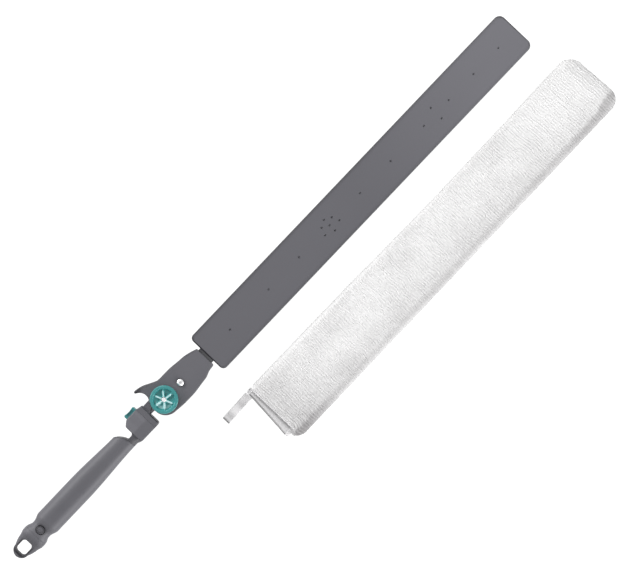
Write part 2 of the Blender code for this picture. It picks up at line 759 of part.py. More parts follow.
def build_release(root):
    """Build the release button: a dipped pad on a latch plate with a window round the plug."""
    front = BLOCK_FRONT_X - CLEARANCE
    back = front - PAD_LENGTH
    top = BLOCK_TOP + PAD_PROUD
    corner = PAD_CORNER
    middle = (front + back) / 2
    reach = PAD_LENGTH / 2 - corner
    dip = []
    for i in range(1, 8):
        share = i / 4 - 1
        dip.append((middle - share * reach, top - PAD_DIP * (1 - share * share)))
    outline = [(back, pad_bottom()), (front, pad_bottom())]
    outline += arc((front - corner, top - corner), corner, 0, 90, 3) + dip
    outline += arc((back + corner, top - corner), corner, 90, 180, 3)
    low, high = AXIS_HEIGHT - PAD_HALF_HEIGHT, AXIS_HEIGHT + PAD_HALF_HEIGHT
    place = (middle, BLOCK_TOP, AXIS_HEIGHT)
    button = add_solid("release_button", prism(outline, low, high, edge=0.8), root, TEAL_PLASTIC,
                       origin=place)
    x = plate_x()
    rail = plate_half_height()
    join(button, prism(rectangle((plate_bottom(), AXIS_HEIGHT - rail), (plate_top(), AXIS_HEIGHT + rail)),
                       x, x + PLATE_THICKNESS, "X"))
    stem = PAD_HALF_HEIGHT - 1.0
    join(button, prism(rectangle((plate_top() - 1.5, AXIS_HEIGHT - stem),
                                 (pad_bottom() + 1.0, AXIS_HEIGHT + stem)),
                       x + 0.2, x + PLATE_THICKNESS - 0.2, "X"))
    window = PLUG_HEIGHT / 2 + CLEARANCE
    window_top = PLUG_WIDTH / 2 + RELEASE_TRAVEL + CLEARANCE
    cut(button, prism(rectangle((latch_level(), AXIS_HEIGHT - window), (window_top, AXIS_HEIGHT + window)),
                      x - 1.0, x + PLATE_THICKNESS + 1.0, "X"))
    spring_x = (back + x) / 2
    bore = RELEASE_SPRING_RADIUS + RELEASE_SPRING_WIRE / 2 + CLEARANCE
    bore_end = pad_bottom() + RELEASE_SPRING_BORE_DEPTH
    cut(button, cylinder((spring_x, AXIS_HEIGHT), bore, pad_floor(), bore_end, "Y"))
    start = pad_floor() + CLEARANCE
    spring = coil((spring_x, start, AXIS_HEIGHT), (0, 1, 0), RELEASE_SPRING_RADIUS,
                  RELEASE_SPRING_WIRE, bore_end - CLEARANCE - start, RELEASE_SPRING_TURNS)
    add_solid("release_spring", spring, root, SPRING_STEEL, sharp=80)
    return button


def build_tongue(root):
    """Build the plug, its collar, and the tongue with the pivot's eye."""
    low, high = AXIS_HEIGHT - BLOCK_HEIGHT / 2, AXIS_HEIGHT + BLOCK_HEIGHT / 2
    corner = COLLAR_CORNER
    outline = [(COLLAR_BACK_X, COLLAR_TOP), (COLLAR_BACK_X, -COLLAR_BOTTOM)]
    outline += arc((COLLAR_FRONT_X - corner, -COLLAR_BOTTOM + corner), corner, 270, 360, 3)
    outline += [(COLLAR_FRONT_X, COLLAR_TOP - COLLAR_TOP_SLOPE)]
    tongue = add_solid("pivot_tongue", prism(outline, low, high, edge=COLLAR_EDGE), root, GREY_PLASTIC)
    plug_back = COLLAR_BACK_X - PLUG_LENGTH
    side, rise = PLUG_WIDTH / 2, PLUG_HEIGHT / 2
    join(tongue, prism(rectangle((plug_back, -side), (COLLAR_BACK_X + 1.0, side)),
                       AXIS_HEIGHT - rise, AXIS_HEIGHT + rise, edge=0.6))
    thin = TONGUE_THICKNESS / 2
    lowest = 180 + math.degrees(math.asin(TONGUE_BOTTOM / EYE_RADIUS))
    highest = math.degrees(math.asin(min(TONGUE_TOP / EYE_RADIUS, 0.9)))
    eye = [(COLLAR_FRONT_X - 1.0, TONGUE_TOP), (COLLAR_FRONT_X - 1.0, -TONGUE_BOTTOM)]
    eye += arc((0.0, 0.0), EYE_RADIUS, lowest, 540 - highest, 20)
    join(tongue, prism(eye, AXIS_HEIGHT - thin, AXIS_HEIGHT + thin))
    cut(tongue, cylinder((0.0, 0.0), BOLT_BORE, 0.0, GRIP_HEIGHT))
    x = plate_x()
    groove = rectangle((x - CLEARANCE, -side - 1.0),
                       (x + PLATE_THICKNESS + CLEARANCE, -side + PLUG_GROOVE_DEPTH))
    cut(tongue, prism(groove, AXIS_HEIGHT - BLOCK_HEIGHT / 2, AXIS_HEIGHT + BLOCK_HEIGHT / 2))
    return tongue


def head_outline():
    """Return the head in plan: a waisted snout, a round rear end and a claw on the upper side."""
    end, wide, corner = HEAD_END, HEAD_HALF_WIDTH, HEAD_CORNER
    upper_end, lower_end = HEAD_END_UPPER, HEAD_END_LOWER
    shoulder = wide - HEAD_STEP_DROP
    middle = (HEAD_STEP_START + HEAD_STEP_END) / 2
    lower = [(end, -lower_end + corner), (end - corner, -lower_end)]
    lower += [(HEAD_STEP_END, -lower_end - HEAD_LOWER_END_FLARE)]
    lower += [(middle, -(lower_end + shoulder) / 2 - HEAD_LOWER_BOW), (HEAD_STEP_START, -shoulder)]
    lower += [(HEAD_FULL_END, -wide), (HEAD_FULL_START, -wide)]
    rear = []
    for i in range(REAR_STEPS + 1):
        share = i / REAR_STEPS
        angle = math.radians(HEAD_HEEL_ANGLE + (HEAD_REAR_ANGLE - HEAD_HEEL_ANGLE) * share)
        radius = HEAD_HEEL_RADIUS + (HEAD_REAR_RADIUS - HEAD_HEEL_RADIUS) * share * share
        rear.append((radius * math.cos(angle), radius * math.sin(angle)))
    claw = arc((CLAW_CUT_X, CLAW_CUT_Y), CLAW_CUT_RADIUS, CLAW_CUT_START, CLAW_CUT_END, 9)
    claw += arc((CLAW_TIP_X, CLAW_TIP_Y), CLAW_TIP_RADIUS, 215, 80, 4)
    top = CLAW_TIP_Y + CLAW_TIP_RADIUS
    back = []
    for i in range(1, CLAW_BACK_STEPS):
        share = i / CLAW_BACK_STEPS
        bow = math.sin(math.pi * share) * CLAW_BACK_BOW + math.sin(2 * math.pi * share) * CLAW_BACK_SWAY
        back.append((CLAW_TIP_X + (CLAW_BACK_X - CLAW_TIP_X) * share,
                     top + (CLAW_BACK_Y - top) * share + bow))
    upper = [(CLAW_BACK_X, CLAW_BACK_Y), (HEAD_FULL_START, wide), (HEAD_FULL_END, wide)]
    upper += [(HEAD_STEP_START, shoulder), (middle, (upper_end + shoulder) / 2 + HEAD_UPPER_BOW)]
    upper += [(HEAD_STEP_END, upper_end + HEAD_UPPER_END_FLARE), (end - corner, upper_end)]
    upper += [(end, upper_end - corner)]
    return lower + rear + claw + back + upper


def cheek_shape():
    """Return the front cheek's blank, thinner towards the blade."""
    middle = AXIS_HEIGHT + PARTING_GAP / 2
    outer = AXIS_HEIGHT + CHEEK_OUTER
    shape = prism(head_outline(), middle, outer, edge=HEAD_EDGE, edge_ends="top")
    bmesh.ops.bisect_plane(
        shape, geom=list(shape.verts) + list(shape.edges) + list(shape.faces),
        plane_co=(HEAD_TAPER_START, 0.0, 0.0), plane_no=(1.0, 0.0, 0.0), dist=0.001,
    )
    for vertex in shape.verts:
        share = max(0.0, vertex.co.x - HEAD_TAPER_START) / (HEAD_END - HEAD_TAPER_START)
        keep = 1 - share * (1 - HEAD_END_THICKNESS / HEAD_THICKNESS)
        vertex.co.z = middle + (vertex.co.z - middle) * keep
    return shape


def mirrored(shape):
    """Turn a shape over the wand's middle plane."""
    for vertex in shape.verts:
        vertex.co.z = 2 * AXIS_HEIGHT - vertex.co.z
    return shape


def build_cheek(name, pivot, front):
    """Build one half of the head, slotted for the tongue and channelled for the tang."""
    flip = (lambda shape: shape) if front else mirrored
    cheek = add_solid(name, flip(cheek_shape()), pivot, GREY_PLASTIC)
    under = AXIS_HEIGHT - 1.0
    inner = AXIS_HEIGHT + CHEEK_INNER
    sector = [(0.0, 0.0)] + arc((0.0, 0.0), CHEEK_SLOT_RADIUS, CHEEK_SLOT_START, CHEEK_SLOT_END, 12)
    cut(cheek, flip(prism(sector, under, inner)))
    room = max(EYE_RADIUS, DISC_RADIUS) + 0.5
    cut(cheek, flip(cylinder((0.0, 0.0), room, under, inner, sides=BORE_SIDES)))
    side = CORE_WIDTH / 2 + CLEARANCE
    depth = CORE_THICKNESS / 2 + CLEARANCE
    channel = rectangle((CORE_TANG_START - CLEARANCE, -side), (HEAD_END + 1.0, side))
    cut(cheek, flip(prism(channel, under, AXIS_HEIGHT + depth)))
    beyond = AXIS_HEIGHT + CHEEK_OUTER + 1.0
    cut(cheek, flip(cylinder((0.0, 0.0), BOLT_BORE, under, beyond)))
    cut(cheek, flip(cylinder((SCREW_X, 0.0), SCREW_RADIUS + CLEARANCE, under, beyond)))
    if not front:
        head = BOLT_HEAD_FLATS + 2 * CLEARANCE
        floor = AXIS_HEIGHT + CHEEK_OUTER - BOLT_HEAD_HEIGHT - CLEARANCE
        cut(cheek, flip(prism(hexagon((0.0, 0.0), head), floor, beyond)))
        nut = SCREW_NUT_FLATS + 2 * CLEARANCE
        floor = AXIS_HEIGHT + CHEEK_OUTER - SCREW_NUT_HEIGHT - CLEARANCE
        cut(cheek, flip(prism(hexagon((SCREW_X, 0.0), nut), floor, beyond)))
    return cheek


def build_discs(root):
    """Build the two friction discs that lie between the eye and the cheeks."""
    low = AXIS_HEIGHT + DISC_LEVEL
    front = ring_plate((0.0, 0.0), BOLT_BORE, DISC_RADIUS, low, low + DISC_THICKNESS)
    add_solid("friction_disc_front", front, root, FRICTION_LINING)
    rear = mirrored(ring_plate((0.0, 0.0), BOLT_BORE, DISC_RADIUS, low, low + DISC_THICKNESS))
    add_solid("friction_disc_rear", rear, root, FRICTION_LINING)


def build_bolt(pivot):
    """Build the pivot bolt: a hexagon head in the rear cheek and a shaft up to the knob's hub."""
    bottom = AXIS_HEIGHT - CHEEK_OUTER
    head_top = bottom + BOLT_HEAD_HEIGHT
    bolt = add_solid("pivot_bolt", prism(hexagon((0.0, 0.0), BOLT_HEAD_FLATS), bottom, head_top),
                     pivot, BRIGHT_STEEL)
    end = AXIS_HEIGHT + KNOB_TOP - KNOB_SPOKE_DROP + BOLT_END_HEIGHT
    chamfer = 0.6
    shaft = ((0.0, head_top - 1.0), (BOLT_RADIUS, head_top - 1.0), (BOLT_RADIUS, end - chamfer),
             (BOLT_RADIUS - chamfer, end), (0.0, end))
    join(bolt, turned(shaft, (0.0, 0.0)))
    return bolt


def build_knob(pivot):
    """Build the clamp knob: a round rim, a dished face with six spokes and a nut in its hub."""
    low = AXIS_HEIGHT + KNOB_LEVEL
    top = AXIS_HEIGHT + KNOB_TOP
    dish = top - KNOB_DISH_DEPTH
    hub_top = top - KNOB_SPOKE_DROP
    inner = KNOB_RADIUS - KNOB_RIM_WIDTH
    edge = KNOB_EDGE
    profile = (
        (0.0, low),
        (KNOB_RADIUS - edge, low),
        (KNOB_RADIUS, low + edge),
        *((KNOB_RADIUS - edge * inwards, top - edge * down) for inwards, down in KNOB_RIM_CURVE),
        (inner + edge / 2, top - edge / 6),
        (inner, top - edge / 2),
        (inner - KNOB_DISH_SLOPE, dish),
        (KNOB_HUB_RADIUS + KNOB_DISH_SLOPE, dish),
        (KNOB_HUB_RADIUS, hub_top),
        (0.0, hub_top),
    )
    knob = add_solid("clamp_knob", turned(profile, (0.0, 0.0), BORE_SIDES), pivot, TEAL_PLASTIC)
    spokes = []
    reach = inner + KNOB_DISH_SLOPE
    half = KNOB_SPOKE_WIDTH / 2
    pitch = 2 * math.pi / KNOB_SPOKES
    root_radius = half / math.sin(pitch / 2)
    for i in range(KNOB_SPOKES):
        angle = math.radians(KNOB_SPOKE_TURN) + pitch * i
        along = Vector((math.cos(angle), math.sin(angle)))
        across = Vector((-along.y, along.x))
        spokes += [tuple(along * reach - across * half), tuple(along * reach + across * half)]
        between = angle + pitch / 2
        spokes.append((root_radius * math.cos(between), root_radius * math.sin(between)))
    join(knob, prism(spokes, dish - 0.5, hub_top - 0.2))
    pocket = NUT_FLATS + 2 * CLEARANCE
    cut(knob, prism(hexagon((0.0, 0.0), pocket), low - 1.0, AXIS_HEIGHT + NUT_POCKET_TOP))
    cut(knob, cylinder((0.0, 0.0), BOLT_BORE, low - 1.0, top + 1.0))
    base = AXIS_HEIGHT + NUT_LEVEL
    nut = add_solid("knob_nut", prism(hexagon((0.0, 0.0), NUT_FLATS), base, base + NUT_HEIGHT),
                    pivot, BRASS)
    cut(nut, cylinder((0.0, 0.0), BOLT_BORE, base - 1.0, base + NUT_HEIGHT + 1.0))
    washer_low = AXIS_HEIGHT + WASHER_LEVEL
    washer = ring_plate((0.0, 0.0), BOLT_BORE, WASHER_RADIUS, washer_low, washer_low + WASHER_THICKNESS)
    add_solid("knob_washer", washer, pivot, BRIGHT_STEEL)
    return knob


def build_clamp_screw(pivot):
    """Build the button-head screw through head and tang, and its nut in the rear cheek."""
    seat = AXIS_HEIGHT + CHEEK_OUTER + CLEARANCE
    foot = AXIS_HEIGHT - CHEEK_OUTER + CLEARANCE
    radius, height = SCREW_HEAD_RADIUS, SCREW_HEAD_HEIGHT
    profile = [(0.0, foot), (SCREW_RADIUS, foot), (SCREW_RADIUS, seat), (radius, seat),
               (radius, seat + height * 0.2)]
    for degrees in (25, 45, 65):
        angle = math.radians(degrees)
        profile.append((radius * math.cos(angle), seat + height * (0.2 + 0.8 * math.sin(angle))))
    profile.append((0.0, seat + height))
    screw = add_solid("clamp_screw", turned(profile, (SCREW_X, 0.0)), pivot, BRIGHT_STEEL)
    socket = hexagon((SCREW_X, 0.0), SCREW_SOCKET_FLATS)
    cut(screw, prism(socket, seat + height - SCREW_SOCKET_DEPTH, seat + height + 1.0))
    low = AXIS_HEIGHT - CHEEK_OUTER
    nut = add_solid("clamp_nut", prism(hexagon((SCREW_X, 0.0), SCREW_NUT_FLATS), low,
                                       low + SCREW_NUT_HEIGHT), pivot, BRIGHT_STEEL)
    cut(nut, cylinder((SCREW_X, 0.0), SCREW_RADIUS + CLEARANCE, low - 1.0,
                      low + SCREW_NUT_HEIGHT + 1.0))


def blade_ring(x, half_width, ridge):
    """Return a blade section with round edges; a ridge draws its faces back from the middle."""
    half = BLADE_THICKNESS / 2
    edge = BLADE_EDGE
    inner = half_width - edge
    right = [(half_width, 0.0)] + arc((inner, half - edge), edge, 0, 90, 3)
    left = [(-y, z) for y, z in right[::-1]]
    upper = right + left
    lower = [(y, -z) for y, z in upper[-2:0:-1]]
    return [Vector((x - ridge * abs(z) / half, y, AXIS_HEIGHT + z)) for y, z in upper + lower]


def blade_section(index):
    """Return one section of the blade between two bends, with ridged ends at the bends."""
    first, last = index == 0, index == BENDS
    start = BLADE_START_X if first else BEND_X[index - 1] + BEND_GAP / 2
    end = BLADE_END_X if last else BEND_X[index] - BEND_GAP / 2
    half = BLADE_WIDTH / 2
    rings = []
    angles = [math.radians(degrees) for degrees in (0, 30, 60, 90)]
    if first:
        corner = BLADE_ROOT_CORNER
        for angle in angles:
            rings.append(blade_ring(start + corner * (1 - math.cos(angle)),
                                    half - corner * (1 - math.sin(angle)), 0.0))
    else:
        rings.append(blade_ring(start, half, -BEND_RIDGE))
    if last:
        corner = BLADE_TIP_CORNER
        for angle in angles[::-1]:
            rings.append(blade_ring(end - corner * (1 - math.cos(angle)),
                                    half - corner * (1 - math.sin(angle)), 0.0))
    else:
        rings.append(blade_ring(end, half, BEND_RIDGE))
    return ridged_loft(rings)


def ridged_loft(rings):
    """Skin blade rings; each end is an upper and a lower face that meet on the middle line."""
    shape = bmesh.new()
    rows = [[shape.verts.new(point) for point in ring] for ring in rings]
    count = len(rows[0])
    for below, above in zip(rows, rows[1:]):
        for i in range(count):
            after = (i + 1) % count
            shape.faces.new((below[i], below[after], above[after], above[i]))
    half = count // 2
    for row in (rows[0], rows[-1]):
        shape.faces.new(row[: half + 1])
        shape.faces.new(row[half:] + row[:1])
    return shape


def pin_places():
    """Return the blade's pin holes in plan: rows along the middle, a cluster and a pair."""
    distances = [PIN_ROOT]
    distances += [PIN_ROW_START + PIN_ROW_PITCH * i for i in range(PIN_ROW_COUNT)]
    distances += [PIN_TIP_START + PIN_TIP_PITCH * i for i in range(PIN_TIP_COUNT)]
    places = [(BLADE_START_X + distance, 0.0) for distance in distances]
    centre = BLADE_START_X + PIN_ROW_START + PIN_ROW_PITCH * (PIN_ROW_COUNT // 2)
    for side in (-1, 1):
        places.append((centre, side * PIN_CLUSTER_REACH))
        places.append((centre + side * PIN_CLUSTER_FAR, -PIN_CLUSTER_SIDE))
        places.append((centre + side * PIN_CLUSTER_NEAR, PIN_CLUSTER_SIDE))
        places.append((BLADE_START_X + PIN_PAIR_DISTANCE, side * PIN_PAIR_SIDE))
    return places


def build_blade(pivot):
    """Build the blade's sections and the core strip inside them, one pair below each bend."""
    carrier = pivot
    side = CORE_WIDTH / 2 + CLEARANCE
    depth = CORE_THICKNESS / 2 + CLEARANCE
    core_end = BLADE_END_X - CORE_END_WALL
    for index in range(BENDS + 1):
        first, last = index == 0, index == BENDS
        if not first:
            carrier = add_empty(f"bend_{index}", (BEND_X[index - 1], 0.0, AXIS_HEIGHT), carrier)
        section = add_solid(f"blade_section_{index + 1}", blade_section(index), carrier, GREY_PLASTIC,
                            sharp=50)
        start = BLADE_START_X - 1.0 if first else BEND_X[index - 1] - 1.0
        end = core_end + CLEARANCE if last else BEND_X[index] + 1.0
        cut(section, prism(rectangle((start, -side), (end, side)),
                           AXIS_HEIGHT - depth, AXIS_HEIGHT + depth))
        holes = [place for place in pin_places() if start < place[0] < end]
        for place in holes:
            cut(section, cylinder(place, PIN_HOLE_RADIUS, -1.0, GRIP_HEIGHT, sides=HOLE_SIDES))
        low, high = AXIS_HEIGHT - CORE_THICKNESS / 2, AXIS_HEIGHT + CORE_THICKNESS / 2
        strip_start = CORE_TANG_START if first else BEND_X[index - 1] + CORE_BEND_GAP / 2
        strip_end = core_end if last else BEND_X[index] - CORE_BEND_GAP / 2
        strip = prism(rectangle((strip_start, -CORE_WIDTH / 2), (strip_end, CORE_WIDTH / 2)), low, high)
        core = add_solid(f"core_strip_{index + 1}", strip, carrier, STRIP_METAL)
        if first:
            cut(core, cylinder((SCREW_X, 0.0), SCREW_RADIUS + CLEARANCE, low - 1.0, high + 1.0))


def sleeve_ring(x, half_width, height, slant=0.0):
    """Return a pillow section: flat below, with round edges, and slanted towards the lower side."""
    edge = min(SLEEVE_EDGE, height * SLEEVE_EDGE_SHARE)
    left, right = SLEEVE_CENTRE_Y - half_width, SLEEVE_CENTRE_Y + half_width
    bottom = (SLEEVE_HEIGHT - height) * SLEEVE_REST_SHARE
    outline = rounded_rectangle((left, bottom), (right, bottom + height), edge, SLEEVE_EDGE_STEPS)
    return [Vector((x + slant * (SLEEVE_CENTRE_Y - y) / SLEEVE_WIDTH, y, z)) for y, z in outline]


def build_sleeve(root):
    """Build the microfibre sleeve with its pocket, the hem tape at its mouth and its loop."""
    half = SLEEVE_WIDTH / 2
    start, end = SLEEVE_START_X, SLEEVE_START_X + SLEEVE_LENGTH
    rings = [
        sleeve_ring(start, half - SLEEVE_MOUTH_TUCK, SLEEVE_HEIGHT * SLEEVE_MOUTH_THINNING),
        sleeve_ring(start + SLEEVE_MOUTH_RUN, half, SLEEVE_HEIGHT),
    ]
    corner = SLEEVE_END_CORNER
    for degrees in SLEEVE_END_ANGLES:
        angle = math.radians(degrees)
        x = end - corner * (1 - math.cos(angle))
        thin = 1 - SLEEVE_END_THINNING * (1 - math.sin(angle))
        rings.append(sleeve_ring(x, half - corner * (1 - math.sin(angle)), SLEEVE_HEIGHT * thin,
                                 SLEEVE_END_SLANT * math.cos(angle)))
    sleeve = add_solid("sleeve", loft(rings), root, WHITE_PILE, origin=(start, SLEEVE_CENTRE_Y, 0.0))
    middle = SLEEVE_HEIGHT / 2
    pocket_half = POCKET_WIDTH / 2
    low, high = middle - POCKET_HEIGHT / 2, middle + POCKET_HEIGHT / 2
    pocket = rectangle((start - 1.0, SLEEVE_CENTRE_Y - pocket_half),
                       (end - SLEEVE_END_WALL, SLEEVE_CENTRE_Y + pocket_half))
    cut(sleeve, prism(pocket, low, high))
    build_hem(sleeve, low, high)
    build_loop(sleeve)
    return sleeve


def hem_front(y):
    """Return where the hem's slanted front edge lies at a sideways place."""
    share = (y - HEM_LOWER_Y) / HEM_WIDTH
    return SLEEVE_START_X - HEM_REACH + HEM_SLANT * (share - 0.5)


def build_hem(sleeve, low, high):
    """Build the hem: a band round the mouth whose lower layer reaches further out as a flap."""
    back = SLEEVE_START_X - CLEARANCE
    left, right = HEM_LOWER_Y, HEM_UPPER_Y
    outline = [(back, left), (back, right), (hem_front(right), right), (hem_front(left), left)]
    bottom = (SLEEVE_HEIGHT - HEM_HEIGHT) / 2
    band = prism(outline, bottom, bottom + HEM_HEIGHT, edge=HEM_EDGE)
    hem = add_solid("sleeve_hem", band, sleeve, WHITE_TAPE)
    margin = 1.0
    pocket = rectangle((back - HEM_REACH * 3, left + HEM_SIDE_WALL), (back + margin, right - HEM_SIDE_WALL))
    cut(hem, prism(pocket, low, high))
    lip = [(hem_front(right) - HEM_LIP, right + margin), (hem_front(left) - HEM_LIP, left - margin),
           (hem_front(left) + HEM_LIP, left - margin), (hem_front(right) + HEM_LIP, right + margin)]
    cut(hem, prism(lip, low, SLEEVE_HEIGHT + margin))


def build_loop(sleeve):
    """Build the hanging loop: a tape folded double that bulges open at its fold."""
    right_y = HEM_UPPER_Y
    margin = 1.0
    end = min(hem_front(right_y), hem_front(right_y - LOOP_WIDTH)) - CLEARANCE
    start = end - LOOP_LENGTH
    base = FLOOR_LIFT
    radius = LOOP_BULGE / 2
    outer = [(end, base), (end, base + 2 * LOOP_TAPE), (end - LOOP_TAIL, base + 2 * LOOP_TAPE)]
    outer += [(start + radius + LOOP_OPEN_TOP, base + LOOP_BULGE)]
    outer += arc((start + radius, base + radius), radius, 90, 270, 8)
    tape = LOOP_TAPE
    inner = [(end - LOOP_TAIL - 2 * tape, base + tape)]
    inner += [(start + radius + LOOP_OPEN_TOP, base + LOOP_BULGE - tape)]
    inner += arc((start + radius, base + radius), radius - tape, 90, 270, 8)
    loop = add_solid("sleeve_loop", prism(outer, right_y - LOOP_WIDTH, right_y, "Y"), sleeve, WHITE_TAPE)
    cut(loop, prism(inner, right_y - LOOP_WIDTH - margin, right_y + margin, "Y"))


def shade_by_area():
    """Let large faces set the normals, so flat faces look flat beside round edges."""
    for item in bpy.context.scene.objects:
        if item.type == "MESH" and not item.hide_render:
            modifier = item.modifiers.new("normals", "WEIGHTED_NORMAL")
            modifier.keep_sharp = True


def centre_on_surface(root):
    """Move the whole model so that its box stands centred on the origin."""
    bpy.context.view_layer.update()
    graph = bpy.context.evaluated_depsgraph_get()
    corners = []
    for item in bpy.context.scene.objects:
        if item.type == "MESH" and not item.hide_render:
            solid = item.evaluated_get(graph)
            corners += [solid.matrix_world @ Vector(corner) for corner in solid.bound_box]
    lows = [min(corner[axis] for corner in corners) for axis in range(3)]
    highs = [max(corner[axis] for corner in corners) for axis in range(3)]
    shift = Vector((-(lows[0] + highs[0]) / 2, -(lows[1] + highs[1]) / 2, -lows[2]))
    root.location += shift
    print("box", [round(high - low, 5) for low, high in zip(lows, highs)])
    print("pivot", [round(value, 6) for value in root.location + Vector((0, 0, AXIS_HEIGHT * MM))])


def build():
    """Build the whole duster."""
    clear_scene()
    root = add_empty("duster", (0.0, 0.0, 0.0))
    build_grip(root)
    build_cap(root)
    build_snap_button(root)
    build_socket(root)
    build_release(root)
    build_tongue(root)
    build_discs(root)
    pivot = add_empty("head_pivot", (0.0, 0.0, AXIS_HEIGHT), root)
    build_cheek("head_front_cheek", pivot, True)
    build_cheek("head_rear_cheek", pivot, False)
    build_bolt(pivot)
    build_knob(pivot)
    build_clamp_screw(pivot)
    build_blade(pivot)
    build_sleeve(root)
    shade_by_area()
    centre_on_surface(root)


build()
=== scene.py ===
"""Looks of a flexible duster: a grey wand with a teal clamp knob, and its white microfibre sleeve."""

from __future__ import annotations

import logging
import math
from dataclasses import dataclass
from enum import Enum
from typing import Callable, Sequence

import bmesh
import bpy
import numpy as np
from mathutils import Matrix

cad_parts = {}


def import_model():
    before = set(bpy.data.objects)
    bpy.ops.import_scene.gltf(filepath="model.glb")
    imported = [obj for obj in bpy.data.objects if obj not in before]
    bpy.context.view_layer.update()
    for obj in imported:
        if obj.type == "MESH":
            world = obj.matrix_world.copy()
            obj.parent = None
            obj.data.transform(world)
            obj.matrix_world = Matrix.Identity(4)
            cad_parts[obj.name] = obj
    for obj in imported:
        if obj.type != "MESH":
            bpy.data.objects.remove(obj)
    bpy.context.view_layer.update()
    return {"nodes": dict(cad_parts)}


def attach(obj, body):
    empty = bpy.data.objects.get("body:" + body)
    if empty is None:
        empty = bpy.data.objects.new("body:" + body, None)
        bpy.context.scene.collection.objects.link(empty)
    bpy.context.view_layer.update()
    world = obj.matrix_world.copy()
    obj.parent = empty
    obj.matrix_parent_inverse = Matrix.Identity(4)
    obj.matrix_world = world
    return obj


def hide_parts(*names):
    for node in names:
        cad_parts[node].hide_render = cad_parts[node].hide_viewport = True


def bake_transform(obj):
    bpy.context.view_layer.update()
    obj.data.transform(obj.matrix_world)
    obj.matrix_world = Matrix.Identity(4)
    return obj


LOG = logging.getLogger("duster")
MM = 0.001
# The pivot's place in the row frame. The wand's own frame starts there, in millimetres, with X to the tip.
PIVOT = np.array((-0.19014, 0.058914, 0.0))
AXIS_HEIGHT = 18.0
BASE = "handle"
# X of the five bends, and half the distance from one to the next
BENDS = (140.6, 226.4, 312.2, 398.0, 483.8)
HALF_BEND_PITCH = 42.9
# X of the snap button's and of the clamp screw's axis
SNAP_X = -215.1
SCREW_X = 27.8
# Radius of the pivot bolt's bore, and width across flats of its hexagon
BOLT_BORE = 3.2
BOLT_FLATS = 10.6
# Half the depth of the socket's block and of the plug's collar
BLOCK_DEPTH = 13.0
# A height above all that a cutter has to pass
CLEAR = 40.0
# Materials made so far, by name
MADE: dict[str, bpy.types.Material] = {}


# ---------------------------------------------------------------- meshes


def in_row(points: np.ndarray) -> np.ndarray:
    """Change points of the wand's frame in millimetres to the row frame in metres."""
    return np.asarray(points, float) * MM + PIVOT


def grid_faces(rows: int, columns: int, close_rows: bool = False) -> np.ndarray:
    """Join rings of points with quads. Point c of ring r has index r * columns + c.

    Args:
        rows: Number of rings.
        columns: Number of points in a ring.
        close_rows: Whether the last ring joins the first.

    Returns:
        Array of K by 4 point indices.
    """
    r = np.arange(rows if close_rows else rows - 1)[:, None]
    c = np.arange(columns)[None, :]
    r_next, c_next = (r + 1) % rows, (c + 1) % columns
    quads = np.stack((r * columns + c, r_next * columns + c, r_next * columns + c_next,
                      r * columns + c_next), axis=-1)
    return quads.reshape(-1, 4)


def enclosed_volume(points: np.ndarray, faces: Sequence[np.ndarray]) -> float:
    """Sum the signed volumes of the fans of all faces with the origin.

    Args:
        points: Array of N by 3 coordinates.
        faces: Arrays of K by corners point indices.

    Returns:
        The volume, negative where the faces point inwards.
    """
    total = 0.0
    for block in faces:
        for i in range(1, block.shape[1] - 1):
            a, b, c = points[block[:, 0]], points[block[:, i]], points[block[:, i + 1]]
            total += float((a * np.cross(b, c)).sum() / 6)
    return total


def make_mesh(name: str, points: np.ndarray, faces: Sequence[np.ndarray]) -> bpy.types.Mesh:
    """Put arrays of points and faces into a mesh whose faces point outwards.

    Args:
        name: Name of the mesh.
        points: Array of N by 3 coordinates in the wand's frame, in millimetres.
        faces: Arrays of K by corners point indices.

    Returns:
        The mesh, in metres in the row frame.
    """
    blocks = [np.asarray(block, np.int32) for block in faces if len(block)]
    if enclosed_volume(points - points.mean(0), blocks) < 0:
        blocks = [block[:, ::-1] for block in blocks]
    corners = np.concatenate([block.ravel() for block in blocks])
    sizes = np.concatenate([np.full(len(block), block.shape[1], np.int32) for block in blocks])
    mesh = bpy.data.meshes.new(name)
    mesh.vertices.add(len(points))
    mesh.vertices.foreach_set("co", in_row(points).astype(np.float32).ravel())
    mesh.loops.add(len(corners))
    mesh.loops.foreach_set("vertex_index", corners)
    mesh.polygons.add(len(sizes))
    mesh.polygons.foreach_set("loop_start", np.concatenate(([0], np.cumsum(sizes)[:-1])).astype(np.int32))
    mesh.update(calc_edges=True)
    mesh.validate()
    return mesh


def grid_mesh(name: str, grid: np.ndarray, close_rows: bool = False) -> bpy.types.Mesh:
    """Make a mesh of rings of points."""
    rows, columns = grid.shape[:2]
    return make_mesh(name, grid.reshape(-1, 3), [grid_faces(rows, columns, close_rows)])


def tube_mesh(name: str, rings: np.ndarray | Sequence[np.ndarray]) -> bpy.types.Mesh:
    """Make a mesh of rings of points, with a face over the first and over the last ring.

    Args:
        name: Name of the mesh.
        rings: Rings of N by 3 coordinates.

    Returns:
        The closed mesh.
    """
    grid = np.asarray(rings)
    rows, columns = grid.shape[:2]
    order = np.arange(columns)[None, :]
    faces = [grid_faces(rows, columns), order, order[:, ::-1] + columns * (rows - 1)]
    return make_mesh(name, grid.reshape(-1, 3), faces)


def link_object(name: str, data: bpy.types.ID) -> bpy.types.Object:
    """Make an object of a mesh, a camera or a lamp and link it to the scene.

    Args:
        name: Name of the object.
        data: What it shows.

    Returns:
        The new object, at the origin.
    """
    made = bpy.data.objects.new(name, data)
    bpy.context.scene.collection.objects.link(made)
    return made


